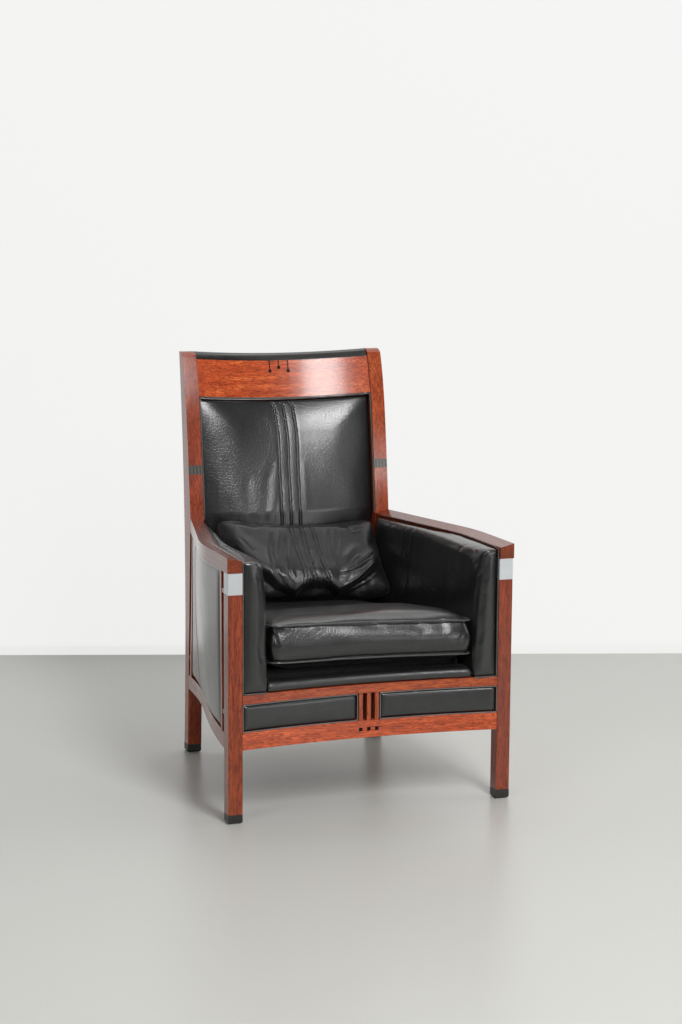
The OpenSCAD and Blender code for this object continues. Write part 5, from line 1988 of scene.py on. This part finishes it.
@dataclass
class Studio:
    """A pale floor, a white wall, and soft studio light."""

    floor: tuple[float, float, float] = (0.58, 0.58, 0.55)
    wall: tuple[float, float, float] = (0.80, 0.80, 0.79)
    wall_line: tuple[Point, Point] = ((20, 655.0), (660, 653.4))
    skirting: float = 0.03
    air: float = 0.065
    air_shown: float = 0.9
    wide: float = 9.0
    skirting_wide: float = 6.0
    ceiling: float = 3.4
    cards: tuple[Card, ...] = (
        Card("high_softbox", (0.12, 0.3, 1.0), 2, 29.5, 4.4, (1.0, 1.95), 22),
        Card("left_window", (0, 0, 0.6), -50, 24, 4.0, (1.8, 1.8), 2.0),
        Card("right_window", (0, 0, 0.6), 78, 20, 4.0, (1.8, 1.8), 2.8),
        Card("right_wall", (0, 0.2, 0.75), 24, 1.5, 4.6, (1.6, 1.05), 2.2),
        Card("rear_high", (0, 0, 0.5), 162, 68, 3.2, (2.2, 1.0), 1.8),
        Card("right_slit", (0.27, 0.25, 0.75), 20.6, 4.2, 5.0, (0.36, 0.56), 8),
    )

    def surface(self, name: str, colour: tuple[float, float, float], shown: float,
                roughness: float) -> bpy.types.Material:
        """A plain surface; one that is shown paler than it lights is clear from behind, as the wall must be.

        Args:
            name: Name of the material.
            colour: Its colour.
            shown: Share of plain white mixed in for camera, glossy and transmission rays.
            roughness: Its roughness.

        Returns:
            The material.
        """
        n = Nodes(name)
        n.set(Base_Color=(*colour, 1), Roughness=roughness, Specular_IOR_Level=0.5)
        if shown:
            path = n.add("ShaderNodeLightPath")
            seen = n.math("MAXIMUM", path.outputs["Is Camera Ray"], path.outputs["Is Glossy Ray"])
            seen = n.math("MAXIMUM", seen, path.outputs["Is Transmission Ray"])
            glow = n.add("ShaderNodeEmission", Color=(0.93, 0.93, 0.92, 1), Strength=1.0)
            both = n.add("ShaderNodeMixShader")
            n.link(n.math("MULTIPLY", seen, shown), both.inputs[0])
            n.link(n.shader.outputs["BSDF"], both.inputs[1])
            n.link(glow.outputs[0], both.inputs[2])
            faces = n.add("ShaderNodeNewGeometry")
            clear = n.add("ShaderNodeBsdfTransparent")
            side = n.add("ShaderNodeMixShader")
            n.link(faces.outputs["Backfacing"], side.inputs[0])
            n.link(both.outputs[0], side.inputs[1])
            n.link(clear.outputs[0], side.inputs[2])
            n.link(side.outputs[0], n.output.inputs["Surface"])
        return n.material

    def plane(self, name: str, size: float, matrix: Matrix, material: bpy.types.Material) -> None:
        """A large stage plane.

        Args:
            name: Its name.
            size: Half its width in metres.
            matrix: Its place.
            material: Its material.
        """
        bm = bmesh.new()
        bmesh.ops.create_grid(bm, x_segments=1, y_segments=1, size=size, matrix=matrix)
        mesh = bpy.data.meshes.new(name)
        bm.to_mesh(mesh)
        bm.free()
        mesh.materials.append(material)
        obj = bpy.data.objects.new(name, mesh)
        bpy.context.scene.collection.objects.link(obj)

    def lamp(self, name: str, place_at: Vector, aim: Vector, size: tuple[float, float], power: float) -> None:
        """A rectangular soft lamp.

        Args:
            name: Its name.
            place_at: Where it hangs, in metres.
            aim: The point it faces, in metres.
            size: Its width and height in metres.
            power: Its power in watts.
        """
        data = bpy.data.lights.new(name, "AREA")
        data.shape, data.size, data.size_y, data.energy = "RECTANGLE", size[0], size[1], power
        obj = bpy.data.objects.new(name, data)
        turn = (aim - place_at).to_track_quat("-Z", "Y").to_matrix().to_4x4()
        obj.matrix_world = Matrix.Translation(place_at) @ turn
        bpy.context.scene.collection.objects.link(obj)

    def hang(self, card: Card) -> None:
        """Makes the lamp of a card.

        Args:
            card: Where it hangs and how bright it is.
        """
        a, e = math.radians(card.azimuth), math.radians(card.elevation)
        way = Vector((math.sin(a) * math.cos(e), -math.cos(a) * math.cos(e), math.sin(e)))
        aim = Vector(card.aim)
        power = card.bright * math.pi * card.size[0] * card.size[1]
        self.lamp(card.name, aim + way * card.distance, aim, card.size, power)

    def build(self) -> None:
        """Makes the stage and the lights."""
        self.plane("floor", self.wide, Matrix.Identity(4), self.surface("floor_pale", self.floor, 0.0, 0.32))
        left, right = (VIEW.ground(*pixel) for pixel in self.wall_line)
        along = (right - left).normalized()
        foot = Matrix.Translation((left + right) / 2) @ Matrix.Rotation(math.atan2(along.y, along.x), 4, "Z")
        white = self.surface("wall_white", self.wall, 0.9, 0.8)
        upright = Matrix.Translation((0, 0.012, 4.0)) @ Matrix.Rotation(math.radians(90), 4, "X")
        self.plane("wall", self.wide, foot @ upright, white)
        board = Matrix.Translation((0, 0, self.skirting / 2)) @ Matrix.Rotation(math.radians(90), 4, "X")
        strip = foot @ board @ Matrix.Diagonal((1, self.skirting / (2 * self.skirting_wide), 1, 1))
        self.plane("skirting", self.skirting_wide, strip, self.surface("skirting_white", self.wall, 0.82, 0.5))
        self.air_light()
        for card in self.cards:
            self.hang(card)
        power = 0.5 * math.pi * self.ceiling * self.ceiling
        self.lamp("ceiling", Vector((0, -0.4, 4.2)), Vector((0, -0.2, 0)), (self.ceiling, self.ceiling), power)
        bpy.context.scene.view_settings.view_transform = "Standard"

    def air_light(self) -> None:
        """Lights the scene from all sides a little, and shows a pale room where nothing stands."""
        world = bpy.data.worlds.new("studio_air")
        world.use_nodes = True
        tree = world.node_tree
        tree.nodes["Background"].inputs["Color"].default_value = (1, 1, 1, 1)
        rays = tree.nodes.new("ShaderNodeLightPath")
        seen = tree.nodes.new("ShaderNodeMapRange")
        seen.inputs["To Min"].default_value, seen.inputs["To Max"].default_value = self.air, self.air_shown
        tree.links.new(rays.outputs["Is Camera Ray"], seen.inputs["Value"])
        tree.links.new(seen.outputs["Result"], tree.nodes["Background"].inputs["Strength"])
        bpy.context.scene.world = world


def main() -> None:
    """Builds the camera, the studio and every sub-assembly in order."""
    logging.basicConfig(level=logging.INFO, format="%(name)s %(message)s")
    random.seed(7)
    VIEW.camera()
    Studio().build()
    Joinery().build()
    Innards().build()
    BackUpholstery().build()
    SidePanels().build()
    FrontPanels().build()
    ArmPads().build()
    SeatCushion().build()
    LumbarPillow().build()


if __name__ == "__main__":
    main()
